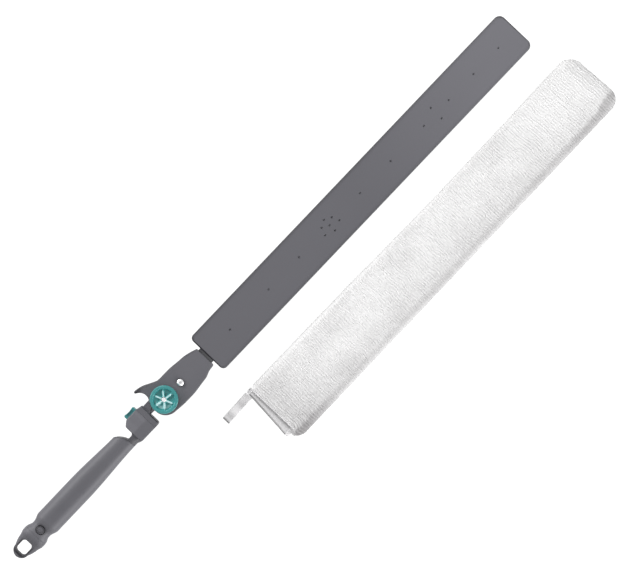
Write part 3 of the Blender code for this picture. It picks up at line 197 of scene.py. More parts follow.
def add_piece(mesh: bpy.types.Mesh, finish: Finish, sharp: float = 180.0) -> bpy.types.Object:
    """Link a mesh as a piece of the same name, with smooth shading and its finish.

    Args:
        mesh: Its mesh, in place in the row frame.
        finish: What it is made of.
        sharp: Angle in degrees above which an edge stays sharp.

    Returns:
        The new object, at the origin.
    """
    mesh.polygons.foreach_set("use_smooth", np.ones(len(mesh.polygons), bool))
    if sharp < 180.0:
        mesh.set_sharp_from_angle(angle=math.radians(sharp))
    piece = link_object(mesh.name, mesh)
    mesh.materials.append(finish.material())
    LOG.info("%s: %d faces", piece.name, len(mesh.polygons))
    return piece


def carry(mesh: bpy.types.Mesh, name: str, values: np.ndarray) -> None:
    """Store a number for each point of a mesh as an attribute."""
    made = mesh.attributes.new(name, "FLOAT", "POINT")
    made.data.foreach_set("value", values.astype(np.float32).ravel())


def point_places(mesh: bpy.types.Mesh) -> np.ndarray:
    """Read a mesh's points in the wand's frame, in millimetres.

    Args:
        mesh: The mesh, in metres in the row frame.

    Returns:
        Array of N by 3 coordinates.
    """
    flat = np.empty(len(mesh.vertices) * 3, np.float32)
    mesh.vertices.foreach_get("co", flat)
    return (flat.reshape(-1, 3).astype(float) - PIVOT) / MM


def shade_points(mesh: bpy.types.Mesh, tone: Callable[[np.ndarray], np.ndarray], edge: float = 0.0) -> None:
    """Carry each point's lightness: a formula of its place, less a painted shade where its normal turns over
    an edge.

    The share is edge * exp(-((n - 0.5) / 0.28)^2), with n the normal's upright part.

    Args:
        mesh: The finished mesh.
        tone: Takes an array of N by 3 points in millimetres and gives N values from 0 to 1.
        edge: How much painted shade darkens a turning edge.
    """
    normal = np.empty(len(mesh.vertices) * 3, np.float32)
    mesh.vertex_normals.foreach_get("vector", normal)
    up = np.abs(normal.reshape(-1, 3)[:, 2].astype(float))
    light = tone(point_places(mesh)) - edge * bell(up, 0.5, 0.28)
    carry(mesh, "lightness", np.clip(light, 0.0, 1.0))


def eased(share: np.ndarray) -> np.ndarray:
    """Ease a share: s * s * (3 - 2 * s)."""
    return share * share * (3 - 2 * share)


def soft_step(start: float, end: float, value: np.ndarray) -> np.ndarray:
    """Rise smoothly from 0 at start to 1 at end, or fall where end lies below start."""
    return eased(np.clip((value - start) / (end - start), 0.0, 1.0))


def bell(value: np.ndarray, middle: float, width: np.ndarray | float) -> np.ndarray:
    """Give a bell curve, exp(-((value - middle) / width)^2)."""
    return np.exp(-(((value - middle) / width) ** 2))


def ring_angles(count: int, offset: float = 0.5) -> np.ndarray:
    """Spread angles evenly over a full turn."""
    return (np.arange(count) + offset) / count * 2 * np.pi


def arc(centre: Sequence[float], radius: np.ndarray | float, angle: np.ndarray) -> np.ndarray:
    """Place points round a centre: point = centre + radius * (cos a, sin a)."""
    return np.column_stack((centre[0] + radius * np.cos(angle), centre[1] + radius * np.sin(angle)))


def weld(mesh: bpy.types.Mesh, distance: float = 0.001) -> bpy.types.Mesh:
    """Merge points that lie in one place, so that seams and poles are closed.

    Args:
        mesh: The mesh to weld.
        distance: Greatest distance between merged points, in millimetres.

    Returns:
        The same mesh.
    """
    shape = bmesh.new()
    shape.from_mesh(mesh)
    bmesh.ops.remove_doubles(shape, verts=shape.verts, dist=distance * MM)
    bmesh.ops.dissolve_degenerate(shape, edges=shape.edges, dist=distance * MM * 0.1)
    shape.to_mesh(mesh)
    shape.free()
    return mesh


def lathe(name: str, profile: np.ndarray, x: float, sides: int = 96) -> bpy.types.Mesh:
    """Turn a profile from axis to axis round an upright axis on the wand's middle line.

    Args:
        name: Name of the mesh.
        profile: Array of N by 2, radius and height.
        x: X of the axis.
        sides: Number of points round the axis.

    Returns:
        The closed mesh.
    """
    turn = ring_angles(sides, 0.0)
    rings = [np.column_stack((arc((x, 0.0), radius, turn), np.full(sides, height)))
             for radius, height in profile]
    return weld(grid_mesh(name, np.array(rings)))


def rounded(profile: Sequence[tuple[float, float]], radius: float, steps: int = 5) -> np.ndarray:
    """Round a profile's inner corners: each corner becomes a quadratic curve between its sides.

    Args:
        profile: Corner points, of which the first and last stay.
        radius: How far along each side the rounding starts, at most 0.45 of the side.
        steps: Points on each rounded corner.

    Returns:
        Array of the rounded profile's points.
    """
    corner = np.asarray(profile, float)
    made = [corner[:1]]
    t = np.linspace(0.0, 1.0, steps)[:, None]
    for before, here, after in zip(corner, corner[1:], corner[2:]):
        back, ahead = before - here, after - here
        start = here + back * min(0.45, radius / max(np.linalg.norm(back), 1e-6))
        end = here + ahead * min(0.45, radius / max(np.linalg.norm(ahead), 1e-6))
        made.append(start * (1 - t) ** 2 + here * 2 * t * (1 - t) + end * t**2)
    made.append(corner[-1:])
    return np.concatenate(made)


def cut_with(piece: bpy.types.Object, cutter: bpy.types.Mesh, operation: str = "DIFFERENCE") -> None:
    """Take a closed shape out of a piece, or join it on, with an exact Boolean, and apply it.

    Args:
        piece: The object to cut.
        cutter: Mesh of the other shape.
        operation: "DIFFERENCE" or "UNION".
    """
    tool = link_object("cutter", cutter)
    step = piece.modifiers.new("cut", "BOOLEAN")
    step.operation, step.solver, step.object = operation, "EXACT", tool
    bpy.context.view_layer.update()
    shaped = piece.evaluated_get(bpy.context.evaluated_depsgraph_get())
    made = bpy.data.meshes.new_from_object(shaped)
    old = piece.data
    piece.modifiers.clear()
    piece.data = made
    made.name = old.name
    bpy.data.meshes.remove(old)
    bpy.data.objects.remove(tool)
    bpy.data.meshes.remove(cutter)


def finish_cut(piece: bpy.types.Object, sharp: float) -> None:
    """Shade a cut piece smoothly again, with its edges above an angle sharp, in one material.

    Args:
        piece: The piece after its cuts.
        sharp: The angle in degrees.
    """
    mesh = piece.data
    count = len(mesh.polygons)
    mesh.polygons.foreach_set("use_smooth", np.ones(count, bool))
    mesh.polygons.foreach_set("material_index", np.zeros(count, np.int32))
    while len(mesh.materials) > 1:
        mesh.materials.pop()
    mesh.set_sharp_from_angle(angle=math.radians(sharp))


def slice_mesh(mesh: bpy.types.Mesh, axis: int, places: np.ndarray) -> None:
    """Cut edges into a mesh along planes square to an axis, so that its faces can bend.

    Args:
        mesh: The mesh, in metres in the row frame.
        axis: 0 for X and 1 for Y.
        places: Where the planes lie, in millimetres in the wand's frame.
    """
    shape = bmesh.new()
    shape.from_mesh(mesh)
    normal = [0.0, 0.0, 0.0]
    normal[axis] = 1.0
    for place in places:
        spot = [0.0, 0.0, 0.0]
        spot[axis] = float(place) * MM + float(PIVOT[axis])
        bmesh.ops.bisect_plane(shape, geom=list(shape.verts) + list(shape.edges) + list(shape.faces),
                               dist=1e-7, plane_co=spot, plane_no=normal)
    shape.to_mesh(mesh)
    shape.free()


def move_points(mesh: bpy.types.Mesh, change: Callable[[np.ndarray], np.ndarray]) -> None:
    """Move a mesh's points by a formula in the wand's frame, and turn its faces outwards again.

    Args:
        mesh: The mesh, in metres in the row frame.
        change: Takes and gives an array of N by 3 points in millimetres.
    """
    mesh.vertices.foreach_set("co", in_row(change(point_places(mesh))).astype(np.float32).ravel())
    shape = bmesh.new()
    shape.from_mesh(mesh)
    bmesh.ops.recalc_face_normals(shape, faces=shape.faces)
    if shape.calc_volume(signed=True) < 0.0:
        bmesh.ops.reverse_faces(shape, faces=shape.faces)
    shape.to_mesh(mesh)
    shape.free()


def lattice_noise(u: np.ndarray, v: np.ndarray, seed: int) -> np.ndarray:
    """Blend random values of a unit lattice smoothly: the four corners' values, weighted by eased shares.

    Args:
        u: First coordinate, in cells.
        v: Second coordinate, in cells.
        seed: Chooses the random values.

    Returns:
        Noise from 0 to 1 at each place.
    """
    table = np.random.default_rng(seed).random((256, 256))
    iu, iv = np.floor(u).astype(int), np.floor(v).astype(int)
    fu, fv = eased(u - iu), eased(v - iv)

    def corner(a: int, b: int) -> np.ndarray:
        """Value of one corner of each place's cell."""
        return table[(iu + a) % 256, (iv + b) % 256]

    low = corner(0, 0) * (1 - fu) + corner(1, 0) * fu
    high = corner(0, 1) * (1 - fu) + corner(1, 1) * fu
    return low * (1 - fv) + high * fv


# ---------------------------------------------------------------- finishes


def socket_value(node: bpy.types.Node, **values: object) -> None:
    """Set inputs of a node by name, with _ for a space."""
    for key, value in values.items():
        node.inputs[key.replace("_", " ")].default_value = value


def math_node(tree: bpy.types.ShaderNodeTree, operation: str) -> bpy.types.Node:
    """Add a math node.

    Args:
        tree: Nodes that it joins.
        operation: What it works out.

    Returns:
        The new node.
    """
    made = tree.nodes.new("ShaderNodeMath")
    made.operation = operation
    return made


def colour_mix(tree: bpy.types.ShaderNodeTree) -> bpy.types.Node:
    """Add a node that mixes two colours.

    Args:
        tree: Nodes that it joins.

    Returns:
        The new node.
    """
    made = tree.nodes.new("ShaderNodeMix")
    made.data_type = "RGBA"
    return made


def attribute_value(tree: bpy.types.ShaderNodeTree, name: str) -> bpy.types.NodeSocket:
    """Add a node that reads a number that each point of the piece carries.

    Args:
        tree: Nodes that it joins.
        name: Name of the attribute.

    Returns:
        The socket with the number.
    """
    held = tree.nodes.new("ShaderNodeAttribute")
    held.attribute_name = name
    return held.outputs["Fac"]


def new_group(name: str, inputs: dict[str, float], outputs: dict[str, str]) -> bpy.types.ShaderNodeTree:
    """Make an empty shader node group with named sockets.

    Args:
        name: Name of the group.
        inputs: Names of number inputs and their first values.
        outputs: Names of outputs and their socket types.

    Returns:
        The group, with its input and output nodes.
    """
    group = bpy.data.node_groups.new(name, "ShaderNodeTree")
    for key, value in inputs.items():
        made = group.interface.new_socket(key, in_out="INPUT", socket_type="NodeSocketFloat")
        made.default_value = value
    for key, kind in outputs.items():
        group.interface.new_socket(key, in_out="OUTPUT", socket_type=kind)
    group.nodes.new("NodeGroupInput")
    group.nodes.new("NodeGroupOutput")
    return group


def surface_grain() -> bpy.types.ShaderNodeTree:
    """Give the shared group for moulded grain: fine noise for height, cloudy noise for tone.

    Returns:
        The group, with inputs Scale, Stretch, Cloud Scale and outputs Height, Tone.
    """
    name = "surface_grain"
    if name in bpy.data.node_groups:
        return bpy.data.node_groups[name]
    group = new_group(name, {"Scale": 1800.0, "Stretch": 1.0, "Cloud Scale": 25.0},
                      {"Height": "NodeSocketFloat", "Tone": "NodeSocketFloat"})
    nodes, links = group.nodes, group.links
    enter, leave = nodes["Group Input"], nodes["Group Output"]
    place = nodes.new("ShaderNodeTexCoord")
    stretch = nodes.new("ShaderNodeCombineXYZ")
    socket_value(stretch, Y=1.0, Z=1.0)
    mapping = nodes.new("ShaderNodeVectorMath")
    mapping.operation = "MULTIPLY"
    fine, cloud = nodes.new("ShaderNodeTexNoise"), nodes.new("ShaderNodeTexNoise")
    socket_value(fine, Detail=2.0, Roughness=0.6)
    socket_value(cloud, Detail=3.0, Roughness=0.55)
    links.new(enter.outputs["Stretch"], stretch.inputs["X"])
    links.new(place.outputs["Object"], mapping.inputs[0])
    links.new(stretch.outputs[0], mapping.inputs[1])
    links.new(mapping.outputs[0], fine.inputs["Vector"])
    links.new(mapping.outputs[0], cloud.inputs["Vector"])
    links.new(enter.outputs["Scale"], fine.inputs["Scale"])
    links.new(enter.outputs["Cloud Scale"], cloud.inputs["Scale"])
    links.new(fine.outputs[0], leave.inputs["Height"])
    links.new(cloud.outputs[0], leave.inputs["Tone"])
    return group


@dataclass(frozen=True)
class Finish:
    """A material on moulded grain: two tones of one colour, with roughness and fine height.

    Attributes:
        name: Name of the material.
        slot: The record's material slot; not used.
        dark: Linear colour of the darker tone.
        light: Linear colour of the lighter tone.
        rough_low: Roughness where the tone is dark.
        rough_high: Roughness where it is light.
        metallic: 1 for metal and 0 for anything else.
        grain: Scale of the fine grain, per metre.
        stretch: How much the grain is squeezed along X.
        cloud: Scale of the cloudy tone, per metre.
        bump: Strength of the grain's height.
        depth: Height of the grain in metres.
    """

    name: str
    slot: str
    dark: tuple[float, float, float]
    light: tuple[float, float, float]
    rough_low: float = 0.4
    rough_high: float = 0.5
    metallic: float = 0.0
    grain: float = 1800.0
    stretch: float = 1.0
    cloud: float = 25.0
    bump: float = 0.25
    depth: float = 0.00008

    def material(self) -> bpy.types.Material:
        """Give the material, made on first use.

        Returns:
            The material.
        """
        if self.name not in MADE:
            MADE[self.name] = bpy.data.materials.new(self.name)
            MADE[self.name].use_nodes = True
            self.dress(MADE[self.name])
        return MADE[self.name]

    def dress(self, made: bpy.types.Material) -> None:
        """Build the material's nodes.

        Args:
            made: A new material with its first nodes.
        """
        nodes, links = made.node_tree.nodes, made.node_tree.links
        shader = nodes["Principled BSDF"]
        shader.inputs["Metallic"].default_value = self.metallic
        grain = nodes.new("ShaderNodeGroup")
        grain.node_tree = surface_grain()
        socket_value(grain, Scale=self.grain, Stretch=self.stretch, Cloud_Scale=self.cloud)
        tone = self.tone_mask(made, grain)
        colour = colour_mix(made.node_tree)
        colour.inputs["A"].default_value = (*self.dark, 1.0)
        colour.inputs["B"].default_value = (*self.light, 1.0)
        links.new(tone, colour.inputs["Factor"])
        links.new(self.tint(made, colour.outputs["Result"]), shader.inputs["Base Color"])
        rough = nodes.new("ShaderNodeMapRange")
        socket_value(rough, To_Min=self.rough_low, To_Max=self.rough_high)
        links.new(tone, rough.inputs["Value"])
        links.new(rough.outputs[0], shader.inputs["Roughness"])
        bump = nodes.new("ShaderNodeBump")
        socket_value(bump, Strength=self.bump, Distance=self.depth)
        links.new(self.relief(made, grain), bump.inputs["Height"])
        links.new(bump.outputs[0], shader.inputs["Normal"])
        self.gloss(shader)

    def tone_mask(self, made: bpy.types.Material, grain: bpy.types.Node) -> bpy.types.NodeSocket:
        """Give the socket that mixes the two tones: the cloudy tone, stretched to 0 to 1.

        Args:
            made: The material.
            grain: Its grain node.

        Returns:
            The socket.
        """
        span = made.node_tree.nodes.new("ShaderNodeMapRange")
        socket_value(span, From_Min=0.3, From_Max=0.7)
        made.node_tree.links.new(grain.outputs["Tone"], span.inputs["Value"])
        return span.outputs[0]

    def tint(self, _made: bpy.types.Material, colour: bpy.types.NodeSocket) -> bpy.types.NodeSocket:
        """Give the colour's socket, for finishes that add a pattern of their own."""
        return colour

    def relief(self, _made: bpy.types.Material, grain: bpy.types.Node) -> bpy.types.NodeSocket:
        """Give the socket of the surface's fine height."""
        return grain.outputs["Height"]

    def gloss(self, _shader: bpy.types.Node) -> None:
        """Set what is the same all over the surface, for finishes that need it.

        Args:
            _shader: The material's shader; not used here.
        """


@dataclass(frozen=True)
class MaskFinish(Finish):
    """A finish whose piece says by an attribute how light it is at each point, from 0 to 1, which holds
    painted light and shade.

    Attributes:
        mask: Name of the attribute.
        cloud_share: How much the cloudy tone moves the lightness.
    """

    mask: str = "lightness"
    cloud_share: float = 0.12

    def tone_mask(self, made: bpy.types.Material, grain: bpy.types.Node) -> bpy.types.NodeSocket:
        """Mix by the piece's attribute, moved a little by the cloudy tone.

        Args:
            made: The material.
            grain: Its grain node.

        Returns:
            The socket that mixes the two tones.
        """
        tree = made.node_tree
        shift, both = math_node(tree, "MULTIPLY_ADD"), math_node(tree, "ADD")
        shift.inputs[1].default_value = self.cloud_share
        shift.inputs[2].default_value = -self.cloud_share / 2
        both.use_clamp = True
        tree.links.new(grain.outputs["Tone"], shift.inputs[0])
        tree.links.new(attribute_value(tree, self.mask), both.inputs[0])
        tree.links.new(shift.outputs[0], both.inputs[1])
        return both.outputs[0]


@dataclass(frozen=True)
class SpokeFinish(MaskFinish):
    """A masked finish with a third tone, a painted highlight, where the attribute is highest.

    Attributes:
        bright: Linear colour of the painted highlight.
        bright_from: Attribute's value from which it is mixed in.
    """

    bright: tuple[float, float, float] = (0.66, 0.9, 0.92)
    bright_from: float = 0.66

    def tint(self, made: bpy.types.Material, colour: bpy.types.NodeSocket) -> bpy.types.NodeSocket:
        """Add the painted highlight where the attribute is highest.

        Args:
            made: The material.
            colour: Socket of the two tones' mix.

        Returns:
            The socket of the final colour.
        """
        tree = made.node_tree
        span = tree.nodes.new("ShaderNodeMapRange")
        socket_value(span, From_Min=self.bright_from)
        mix = colour_mix(tree)
        mix.inputs["B"].default_value = (*self.bright, 1.0)
        tree.links.new(attribute_value(tree, self.mask), span.inputs["Value"])
        tree.links.new(span.outputs[0], mix.inputs["Factor"])
        tree.links.new(colour, mix.inputs["A"])
        return mix.outputs["Result"]


@dataclass(frozen=True)
class PileFinish(MaskFinish):
    """White microfibre: the piece's own attribute paints shade into the gaps between the strands, and light
    and shade elsewhere.
    """

    def gloss(self, shader: bpy.types.Node) -> None:
        """Give the fibres a soft sheen."""
        socket_value(shader, Sheen_Weight=0.25, Sheen_Roughness=0.5, IOR=1.4, Specular_IOR_Level=0.2)


@dataclass(frozen=True)
class TapeFinish(MaskFinish):
    """Woven tape: fine ribs across the width on top of the grain.

    Attributes:
        rib: Scale of the ribs' band wave.
    """

    rib: float = 110.0

    def relief(self, made: bpy.types.Material, grain: bpy.types.Node) -> bpy.types.NodeSocket:
        """Give the height of the ribs, a band wave along X, with the grain added.

        Args:
            made: The material.
            grain: Its grain node.

        Returns:
            The socket of the height.
        """
        tree = made.node_tree
        place = tree.nodes.new("ShaderNodeTexCoord")
        rib = tree.nodes.new("ShaderNodeTexWave")
        rib.bands_direction = "X"
        socket_value(rib, Scale=self.rib, Distortion=0.4)
        both = math_node(tree, "ADD")
        tree.links.new(place.outputs["Object"], rib.inputs["Vector"])
        tree.links.new(rib.outputs["Fac"], both.inputs[0])
        tree.links.new(grain.outputs["Height"], both.inputs[1])
        return both.outputs[0]

    def gloss(self, shader: bpy.types.Node) -> None:
        """Give the yarn a faint sheen."""
        socket_value(shader, Sheen_Weight=0.1, Specular_IOR_Level=0.3)


# The linear tones of grey plastic, from painted shade to painted light; a lightness of 0.5 is the plain
# surface
SHADE_DARK, SHADE_LIGHT = (0.012, 0.011, 0.016), (0.21, 0.208, 0.231)
SHADED_GREY = MaskFinish("grey_shell", "grey_plastic", SHADE_DARK, SHADE_LIGHT, 0.5, 0.6,
                         grain=2200.0, cloud=30.0, bump=0.3)
SHADED_BLADE = MaskFinish("grey_blade", "grey_plastic", SHADE_DARK, SHADE_LIGHT, 0.44, 0.52,
                          grain=1500.0, stretch=0.35, cloud=14.0, bump=0.3, depth=0.0001, cloud_share=0.08)
# The knob's teal runs from painted shade in its pockets to a painted highlight on its spokes
TEAL_KNOB = SpokeFinish("teal_knob", "teal_plastic", (0.01, 0.12, 0.13), (0.085, 0.46, 0.45), 0.22, 0.32,
                        grain=2600.0, cloud=45.0, bump=0.12)
# The pile's dark tone is the painted shade of its gaps, its lower flank and its mouth
PILE = PileFinish("pile_looks", "white_pile", (0.31, 0.3, 0.305), (0.955, 0.95, 0.95), 0.9, 1.0,
                  grain=2400.0, bump=0.4, depth=0.00025, mask="strand", cloud_share=0.0)
# The tape's dark tone is painted shade on the hem's edge and mouth, and on the loop's patches and fold
TAPE = TapeFinish("tape_looks", "white_tape", (0.3, 0.295, 0.3), (0.95, 0.94, 0.95), 0.75, 0.88,
                  grain=3000.0, cloud=60.0, bump=0.4, depth=0.00012)
GREY = Finish("grey_moulding", "grey_plastic", (0.088, 0.087, 0.1), (0.112, 0.111, 0.124), 0.36, 0.46,
              grain=2200.0, cloud=30.0, bump=0.3)
BLADE_GREY = Finish("blade_grey", "grey_plastic", (0.1, 0.099, 0.112), (0.116, 0.115, 0.128), 0.44, 0.52,
                    grain=1500.0, stretch=0.35, cloud=14.0, bump=0.3, depth=0.0001)
DARK = Finish("dark_moulding", "dark_plastic", (0.05, 0.05, 0.057), (0.07, 0.07, 0.078), 0.4, 0.5,
              cloud=60.0)
TEAL = Finish("teal_moulding", "teal_plastic", (0.035, 0.26, 0.26), (0.055, 0.33, 0.325), 0.24, 0.34,
              grain=2600.0, cloud=45.0, bump=0.15)
STEEL = Finish("steel_looks", "bright_steel", (0.8, 0.8, 0.81), (0.92, 0.92, 0.93), 0.22, 0.34, 1.0,
               grain=3000.0, stretch=3.0, cloud=120.0, bump=0.12)
# The screw runs from painted shade in its socket and at its rim to a painted highlight on its dome
SCREW = MaskFinish("screw_looks", "bright_steel", (0.1, 0.1, 0.11), (0.95, 0.95, 0.96), 0.24, 0.34, 1.0,
                   grain=3000.0, cloud=120.0, bump=0.12)
SPRING = Finish("spring_looks", "spring_steel", (0.32, 0.32, 0.33), (0.42, 0.42, 0.43), 0.28, 0.4, 1.0,
                cloud=200.0)
# A dark grey painted as the shade of the slot that the core strip lies in
SHADED_STRIP = Finish("strip_in_shade", "strip_metal", (0.08, 0.08, 0.085), (0.12, 0.12, 0.125), 0.4, 0.55, 1.0,
               cloud=50.0)
BRASS = Finish("brass_looks", "brass", (0.55, 0.38, 0.14), (0.66, 0.48, 0.2), 0.28, 0.4, 1.0, cloud=90.0)
LINING = Finish("lining_looks", "friction_lining", (0.03, 0.03, 0.03), (0.05, 0.05, 0.05), 0.8, 0.95,
                cloud=150.0)


# ---------------------------------------------------------------- plates and skins


@dataclass
class RoundPlate:
    """A plan outline along X: a rectangle with round corners of one radius at each end.

    Attributes:
        start: Lowest X.
        end: Highest X.
        half: Half its width.
        start_corner: Corner radius at its start.
        end_corner: Corner radius at its end.
    """

    start: float
    end: float
    half: float
    start_corner: float
    end_corner: float

    def half_at(self, x: np.ndarray) -> np.ndarray:
        """Half width at X: the full half less what the corner's quarter circle takes away.

        Args:
            x: Places along the plate.

        Returns:
            Half the width at each place.
        """
        half = np.full_like(x, self.half)
        for radius, far in ((self.start_corner, x - self.start), (self.end_corner, self.end - x)):
            short = np.clip(radius - far, 0.0, radius)
            half = np.minimum(half, self.half - radius + np.sqrt(np.maximum(radius**2 - short**2, 0.0)))
        return half

    def inset(self, x: np.ndarray, y: np.ndarray) -> np.ndarray:
        """Distance inside the outline: to the nearest side, or to the arc beside a corner.

        Args:
            x: Places along the plate.
            y: Places across it, from its middle.

        Returns:
            The distance of each place from the outline.
        """
        side = self.half - np.abs(y)
        deep = np.minimum(side, np.minimum(x - self.start, self.end - x))
        for radius, far in ((self.start_corner, x - self.start), (self.end_corner, self.end - x)):
            beside = (far < radius) & (side < radius)
            arc = radius - np.hypot(radius - far, radius - side)
            deep = np.where(beside, arc, deep)
        return np.maximum(deep, 0.0)

    def rows(self, x: np.ndarray, share: np.ndarray, edge: float, steps: int) -> np.ndarray:
        """Space places across the plate: even shares between its long edges, closer in the edges.

        Args:
            x: Places along the plate.
            share: Shares from -1 to 1 of the half width inside the edges.
            edge: Width of the round long edges.
            steps: Number of places in each edge.

        Returns:
            Array of places along by places across, from the plate's middle.
        """
        rim = edge * (1 - np.cos(np.linspace(0.0, np.pi / 2, steps + 1)[:-1]))
        half = self.half_at(x)[:, None]
        return np.concatenate((-(half - rim), share * (half - edge), (half - rim)[:, ::-1]), axis=1)


def eased_ends(start: float, end: float, radius_start: float, radius_end: float, step: float) -> np.ndarray:
    """Spread places from start to end, closer in the round ends, where they follow a quarter circle.

    Args:
        start: First place.
        end: Last place.
        radius_start: Length of the round first part, or 0.
        radius_end: Length of the round last part, or 0.
        step: Distance between places elsewhere.

    Returns:
        The places in rising order.
    """
    middle = np.linspace(start + radius_start, end - radius_end,
                         max(2, int(round((end - start - radius_start - radius_end) / step)) + 1))
    turn = np.linspace(0.0, np.pi / 2, 14)[:-1]
    first = start + radius_start * (1 - np.cos(turn)) if radius_start else np.empty(0)
    last = end - radius_end * (1 - np.cos(turn[::-1])) if radius_end else np.empty(0)
    return np.concatenate((first, middle, last))


@dataclass
class BladeSkin:
    """The long flexible blade, as five smooth skins over the bends between the six stiff sections.

    Attributes:
        start: X of its root.
        length: Its length.
        width: Its width.
        thickness: Its thickness.
        edge: Radius of its long edges.
        root_corner: Corner radius in plan at its root.
        tip_corner: Corner radius in plan at its tip.
        pin_radius: Radius of the small pin marks.
        pin_depth: Depth of the pin marks.
        sway: How far its root and its tip lie to the upper side.
        pin_rings: Lines of points beside a pin mark, as shares of its radius.
        pin_edge: Share of the radius at which a pin mark starts, and over which it deepens.
        step: Distance between points along it, away from pins and ends.
    """

    start: float = 73.4
    length: float = 538.5
    width: float = 56.0
    thickness: float = 6.0
    edge: float = 1.6
    root_corner: float = 6.0
    tip_corner: float = 8.4
    pin_radius: float = 1.15
    pin_depth: float = 1.0
    sway: tuple[float, float] = (0.4, -0.8)
    pin_rings: tuple = (-1.7, -1.15, -0.8, -0.4, 0.0, 0.4, 0.8, 1.15, 1.7)
    pin_edge: tuple[float, float] = (1.15, 0.5)
    step: float = 4.0

    def outline(self) -> RoundPlate:
        """Give the blade's plan outline, before it sways."""
        return RoundPlate(self.start, self.start + self.length, self.width / 2, self.root_corner,
                          self.tip_corner)

    def sway_at(self, x: np.ndarray) -> np.ndarray:
        """Give how far the blade lies to the upper side."""
        return self.sway[0] + (self.sway[1] - self.sway[0]) * (x - self.start) / self.length

    def pins(self) -> np.ndarray:
        """Give the pin marks: a row along the middle, a ring of six and a pair near the tip.

        Returns:
            Array of N by 2 places.
        """
        row = [(114.2, 0.0)] + [(181.0 + 53.1 * i, 0.0) for i in range(5)]
        row += [(451.4 + 43.1 * i, 0.0) for i in range(4)]
        ring = [(287.2, 9.2), (287.2, -9.2), (274.8, -4.5), (299.6, -4.5), (278.4, 4.5), (296.0, 4.5)]
        pair = [(472.8, 9.0), (472.8, -9.0)]
        return np.array(row + ring + pair)

    def stations(self, low: float, high: float) -> np.ndarray:
        """Space places along one skin: even steps, with close ones at its pins and at round ends.

        Args:
            low: The skin's lowest X.
            high: Its highest X.

        Returns:
            The places in rising order.
        """
        first = self.root_corner if low == self.start else 0.0
        last = self.tip_corner if high == self.start + self.length else 0.0
        places = eased_ends(low, high, first, last, self.step)
        pin_x = np.unique(self.pins()[:, 0])
        pin_x = pin_x[(pin_x > low + 2) & (pin_x < high - 2)]
        near = pin_x[:, None] + self.pin_radius * np.array(self.pin_rings)
        return np.unique(np.round(np.concatenate((places, near.ravel())), 4))

    def skin(self, name: str, low: float, high: float) -> bpy.types.Object:
        """Build one skin: rows of points across it, over and under, closed at its two ends.

        Height over the middle is half the thickness less the edge radius, plus a quarter circle of
        the inset; a pin mark takes its depth away, eased over its radius.

        Args:
            name: Name of the piece.
            low: Its lowest X.
            high: Its highest X.

        Returns:
            The piece.
        """
        outline = self.outline()
        x = self.stations(low, high)
        pin_y = np.unique(self.pins()[:, 1])[:, None] + self.pin_radius * np.array(self.pin_rings)
        near = (pin_y / (outline.half - self.edge)).ravel()
        share = np.unique(np.round(np.concatenate((np.linspace(-1, 1, 17), near)), 5))
        y = outline.rows(x, share, self.edge, 6)
        wide_x = np.broadcast_to(x[:, None], y.shape)
        deep = np.minimum(outline.inset(wide_x, y), self.edge)
        rise = self.thickness / 2 - self.edge + np.sqrt(self.edge**2 - (self.edge - deep) ** 2)
        mark = np.zeros_like(y)
        reach, fall = self.pin_edge
        for pin in self.pins():
            far = np.hypot(wide_x - pin[0], y - pin[1]) / self.pin_radius
            mark = np.maximum(mark, eased(np.clip((reach - far) / fall, 0.0, 1.0)))
        over = np.stack((wide_x, y, AXIS_HEIGHT + rise - mark * self.pin_depth), axis=-1)
        under = np.stack((wide_x, y, AXIS_HEIGHT - rise), axis=-1)[:, ::-1]
        rings = np.concatenate((over, under), axis=1)
        rings[..., 1] += self.sway_at(rings[..., 0])
        rows, columns = rings.shape[:2]
        faces = [grid_faces(rows, columns)]
        i = np.arange(y.shape[1] - 1)
        for base in (0, (rows - 1) * columns):
            cap = np.stack((i, i + 1, columns - 2 - i, columns - 1 - i), axis=1) + base
            faces.append(cap if base else cap[:, ::-1])
        mesh = weld(make_mesh(name, rings.reshape(-1, 3), faces))
        piece = add_piece(mesh, SHADED_BLADE, sharp=40.0)
        shade_points(mesh, self.tone)
        return piece

    def tone(self, points: np.ndarray) -> np.ndarray:
        """Give the lightness: painted light towards the tip, painted shade in the pins, along the rim (most
        on the upper side) and at the root's edge.

        Args:
            points: Array of N by 3 points.

        Returns:
            The lightness of each point.
        """
        x, y, _ = points.T
        along = (x - self.start) / self.length
        y = y - self.sway_at(x)
        pins = self.pins()
        near = np.min(np.hypot(x[:, None] - pins[None, :, 0], y[:, None] - pins[None, :, 1]), axis=1)
        light = 0.5 + 0.02 * along + 0.27 * soft_step(0.45, 1.0, along)
        rim = soft_step(2.0, 0.9, self.outline().inset(x, y))
        light = light - 0.25 * soft_step(2.1, 0.9, near) - rim * (0.32 + 0.28 * (y > 0.0))
        return light - 0.45 * soft_step(self.start + 2.2, self.start + 0.6, x) * soft_step(-24.0, -12.0, y)

    def build(self) -> None:
        """Build the five skins in place of the blade's sections."""
        for i, bend in enumerate(BENDS):
            low = self.start if i == 0 else bend - HALF_BEND_PITCH
            high = self.start + self.length if i == len(BENDS) - 1 else bend + HALF_BEND_PITCH
            piece = self.skin(f"blade_skin_{i + 1}", low, high)
            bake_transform(piece)
            replaced = [f"blade_section_{i + 1}"] + (["blade_section_6"] if i == len(BENDS) - 1 else [])
            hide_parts(*replaced)


# ---------------------------------------------------------------- hard pieces


def prism_mesh(outline: np.ndarray, low: float, high: float, axis: int = 2) -> bpy.types.Mesh:
    """Extend an outline between two levels of an axis."""
    return tube_mesh("prism", [np.insert(outline, axis, level, axis=1) for level in (low, high)])


def rectangle(low: tuple[float, float], high: tuple[float, float]) -> np.ndarray:
    """Give the four corners of a rectangle between two opposite ones."""
    return np.array((low, (high[0], low[1]), high, (low[0], high[1])))


